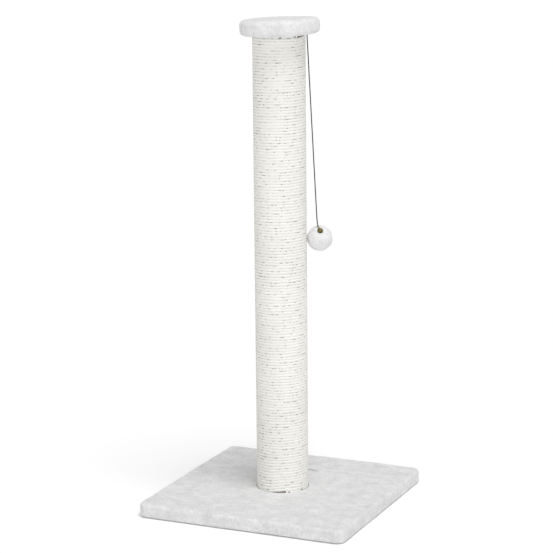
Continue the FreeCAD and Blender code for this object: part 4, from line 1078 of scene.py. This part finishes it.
matted = Recipe("matted_felt", roughness=1.0, Sheen_Weight=0.1)
mat = matted.noise(1100.0, 4.0)
felt_finish = matted.finish(matted.ramp(mat, [(0.3, (0.014, 0.014, 0.015)),
                                              (0.7, (0.06, 0.06, 0.063))]), mat, 0.0004, 0.9)
for index, (x, y) in enumerate(((-1, -1), (1, -1), (1, 1), (-1, 1))):
    disc = turned_grid(felt_outline(), 72) + (x * PAD_PLACE, y * PAD_PLACE, 0)
    disc = disc + 0.00007 * noise(disc, 0.0012)[..., None]
    disc[..., 2] = np.clip(disc[..., 2], 0, HIGHEST_FELT)
    pad = grid_piece(f"felt_pad_{index + 1}", disc, ends="poles")
    dress(pad, felt_finish, "stand", "black_felt", *(["foot_pads"] if index == 0 else []))
print("felt pads: 4 discs")

# %% [markdown]
# The remaining parts come straight from the frame and only need a finish: the boards, the tube,
# its wooden plugs and the small hardware. Chipboard is pressed from flakes, so a texture of
# random cells gives every flake its own brown. The tube is wound from strips of paper, which
# leaves a spiral seam. Plugs show the rings of a log, and steel is told by its roughness.

# %% Boards, tube and plugs
def chipboard_finish():
    """Flakes: random cells, stretched sideways, each with its own shade, and fine dust."""
    chips = Recipe("chipboard", roughness=0.85)
    flakes = chips.node("TexVoronoi", {"Vector": chips.stretched((230.0, 420.0, 900.0)),
                                       "Scale": 1.0})
    flake_shade = chips.ramp(flakes.outputs["Color"], [(0.15, (0.30, 0.19, 0.10)),
                                                       (0.5, (0.50, 0.35, 0.20)),
                                                       (0.9, (0.66, 0.50, 0.31))])
    dust = chips.noise(700.0, 3.0)
    colour = chips.mix(0.35, flake_shade, chips.ramp(dust, [(0.3, (0.38, 0.26, 0.15)),
                                                            (0.7, (0.6, 0.45, 0.28))]))
    return chips.finish(colour, dust, 0.0003, 0.7)


def paper_tube_finish():
    """Kraft paper: fibres across the tube, and a seam where the angle and the height meet."""
    kraft = Recipe("wound_paper_tube", roughness=0.8)
    split = kraft.node("SeparateXYZ", {0: kraft.place.outputs["Object"]})
    angle = kraft.math("ARCTAN2", split.outputs[1], split.outputs[0])
    climb = kraft.math("ADD", kraft.math("MULTIPLY", angle, 1 / (2 * math.pi)),
                       kraft.math("MULTIPLY", split.outputs[2], 9.0))
    strip = kraft.math("FRACT", climb)
    seam = kraft.ramp(strip, [(0.0, 0.45), (0.02, 1.0), (0.97, 1.0), (1.0, 0.6)])
    fibres = kraft.noise(1.0, 4.0, kraft.stretched((160.0, 160.0, 900.0)))
    brown = kraft.ramp(fibres, [(0.3, (0.50, 0.41, 0.32)), (0.7, (0.66, 0.57, 0.47))])
    return kraft.finish(kraft.mix(1.0, brown, seam, "MULTIPLY"), fibres, 0.0002, 0.6)


def plug_wood_finish():
    """A turned plug: rings round its middle that noise bends, with fine pores."""
    wood = Recipe("turned_plug_wood", roughness=0.7)
    rings = wood.node("TexWave", {"Vector": wood.place.outputs["Object"], "Scale": 55.0,
                                  "Distortion": 3.5, "Detail": 2.0},
                      wave_type="RINGS", rings_direction="Z")
    shade = wood.ramp(rings.outputs["Fac"], [(0.0, (0.42, 0.28, 0.15)), (0.6, (0.62, 0.46, 0.28)),
                                             (1.0, (0.70, 0.55, 0.36))])
    pores = wood.noise(1.0, 3.0, wood.stretched((900.0, 900.0, 90.0)))
    colour = wood.mix(0.3, shade, wood.ramp(pores, [(0.35, (0.36, 0.24, 0.13)),
                                                    (0.6, (0.66, 0.5, 0.32))]))
    return wood.finish(colour, rings.outputs["Fac"], 0.0002, 0.5)


def give(material, *names):
    """Puts one finish on parts of the frame."""
    for name in names:
        nodes[name].data.materials.clear()
        nodes[name].data.materials.append(material)


give(chipboard_finish(), "base_board", "cap_board")
give(paper_tube_finish(), "post_tube")
give(plug_wood_finish(), "lower_plug", "upper_plug")
print("boards, tube and plugs dressed")

# %% [markdown]
# Metals need little colour and much roughness detail. Zinc plating is mottled by its crystals,
# drawn wire has fine lines along it, and the tacks are dulled.

# %% Hardware
def metal_finish(name, dark, light, rough, scale):
    """A metal whose shade and roughness both follow one noise, at a number of spots per metre."""
    metal = Recipe(name, roughness=rough[0], metallic=1.0)
    mottle = metal.noise(scale, 4.0)
    colour = metal.ramp(mottle, [(0.3, dark), (0.7, light)])
    return metal.finish(colour, mottle, 0.00006, 0.4, metal.ramp(mottle, [(0.3, rough[1]),
                                                                         (0.7, rough[0])]))


give(metal_finish("plated_zinc", (0.50, 0.51, 0.53), (0.70, 0.71, 0.72), (0.3, 0.5), 260.0),
     "base_bolt", "base_washer", "cap_bolt", "tee_nuts", "plug_nails")
give(metal_finish("staple_wire", (0.55, 0.55, 0.56), (0.78, 0.78, 0.79), (0.25, 0.4), 900.0),
     "hem_staples", "liner_staples", "cap_staples", "cord_staple")
give(metal_finish("dull_tack_steel", (0.22, 0.21, 0.20), (0.42, 0.41, 0.39), (0.4, 0.6), 700.0),
     "rope_tacks")
print("hardware dressed")

# %% [markdown]
# The floor is plain and white. Brighter lamps would whiten it too, but they would wash out the
# plush. So it glows a little, and to the camera only: it looks white, and the object's shadow on
# it stays faint.

# %% Floor
def white_floor(half_side, white, glow):
    """A square that reflects the white share of light, and glows to the camera alone."""
    corners = half_side * np.array([(-1, -1, 0), (1, -1, 0), (1, 1, 0), (-1, 1, 0)])
    floor = place_mesh("floor", corners, [0, 1, 2, 3], [0])
    material = bpy.data.materials.new("white_floor")
    material.use_nodes = True
    tree = material.node_tree
    tree.nodes.clear()
    matt = add_node(tree, "BsdfDiffuse", {"Color": (white, white, white, 1)})
    path = add_node(tree, "LightPath")
    shown = add_node(tree, "Math", {0: path.outputs["Is Camera Ray"], 1: glow},
                     operation="MULTIPLY")
    lit = add_node(tree, "Emission", {"Strength": shown.outputs[0]})
    both = add_node(tree, "AddShader", {0: matt.outputs[0], 1: lit.outputs[0]})
    add_node(tree, "OutputMaterial", {"Surface": both.outputs[0]})
    floor.data.materials.append(material)
    return floor


white_floor(12, white=0.9, glow=0.12)
print("floor ready")
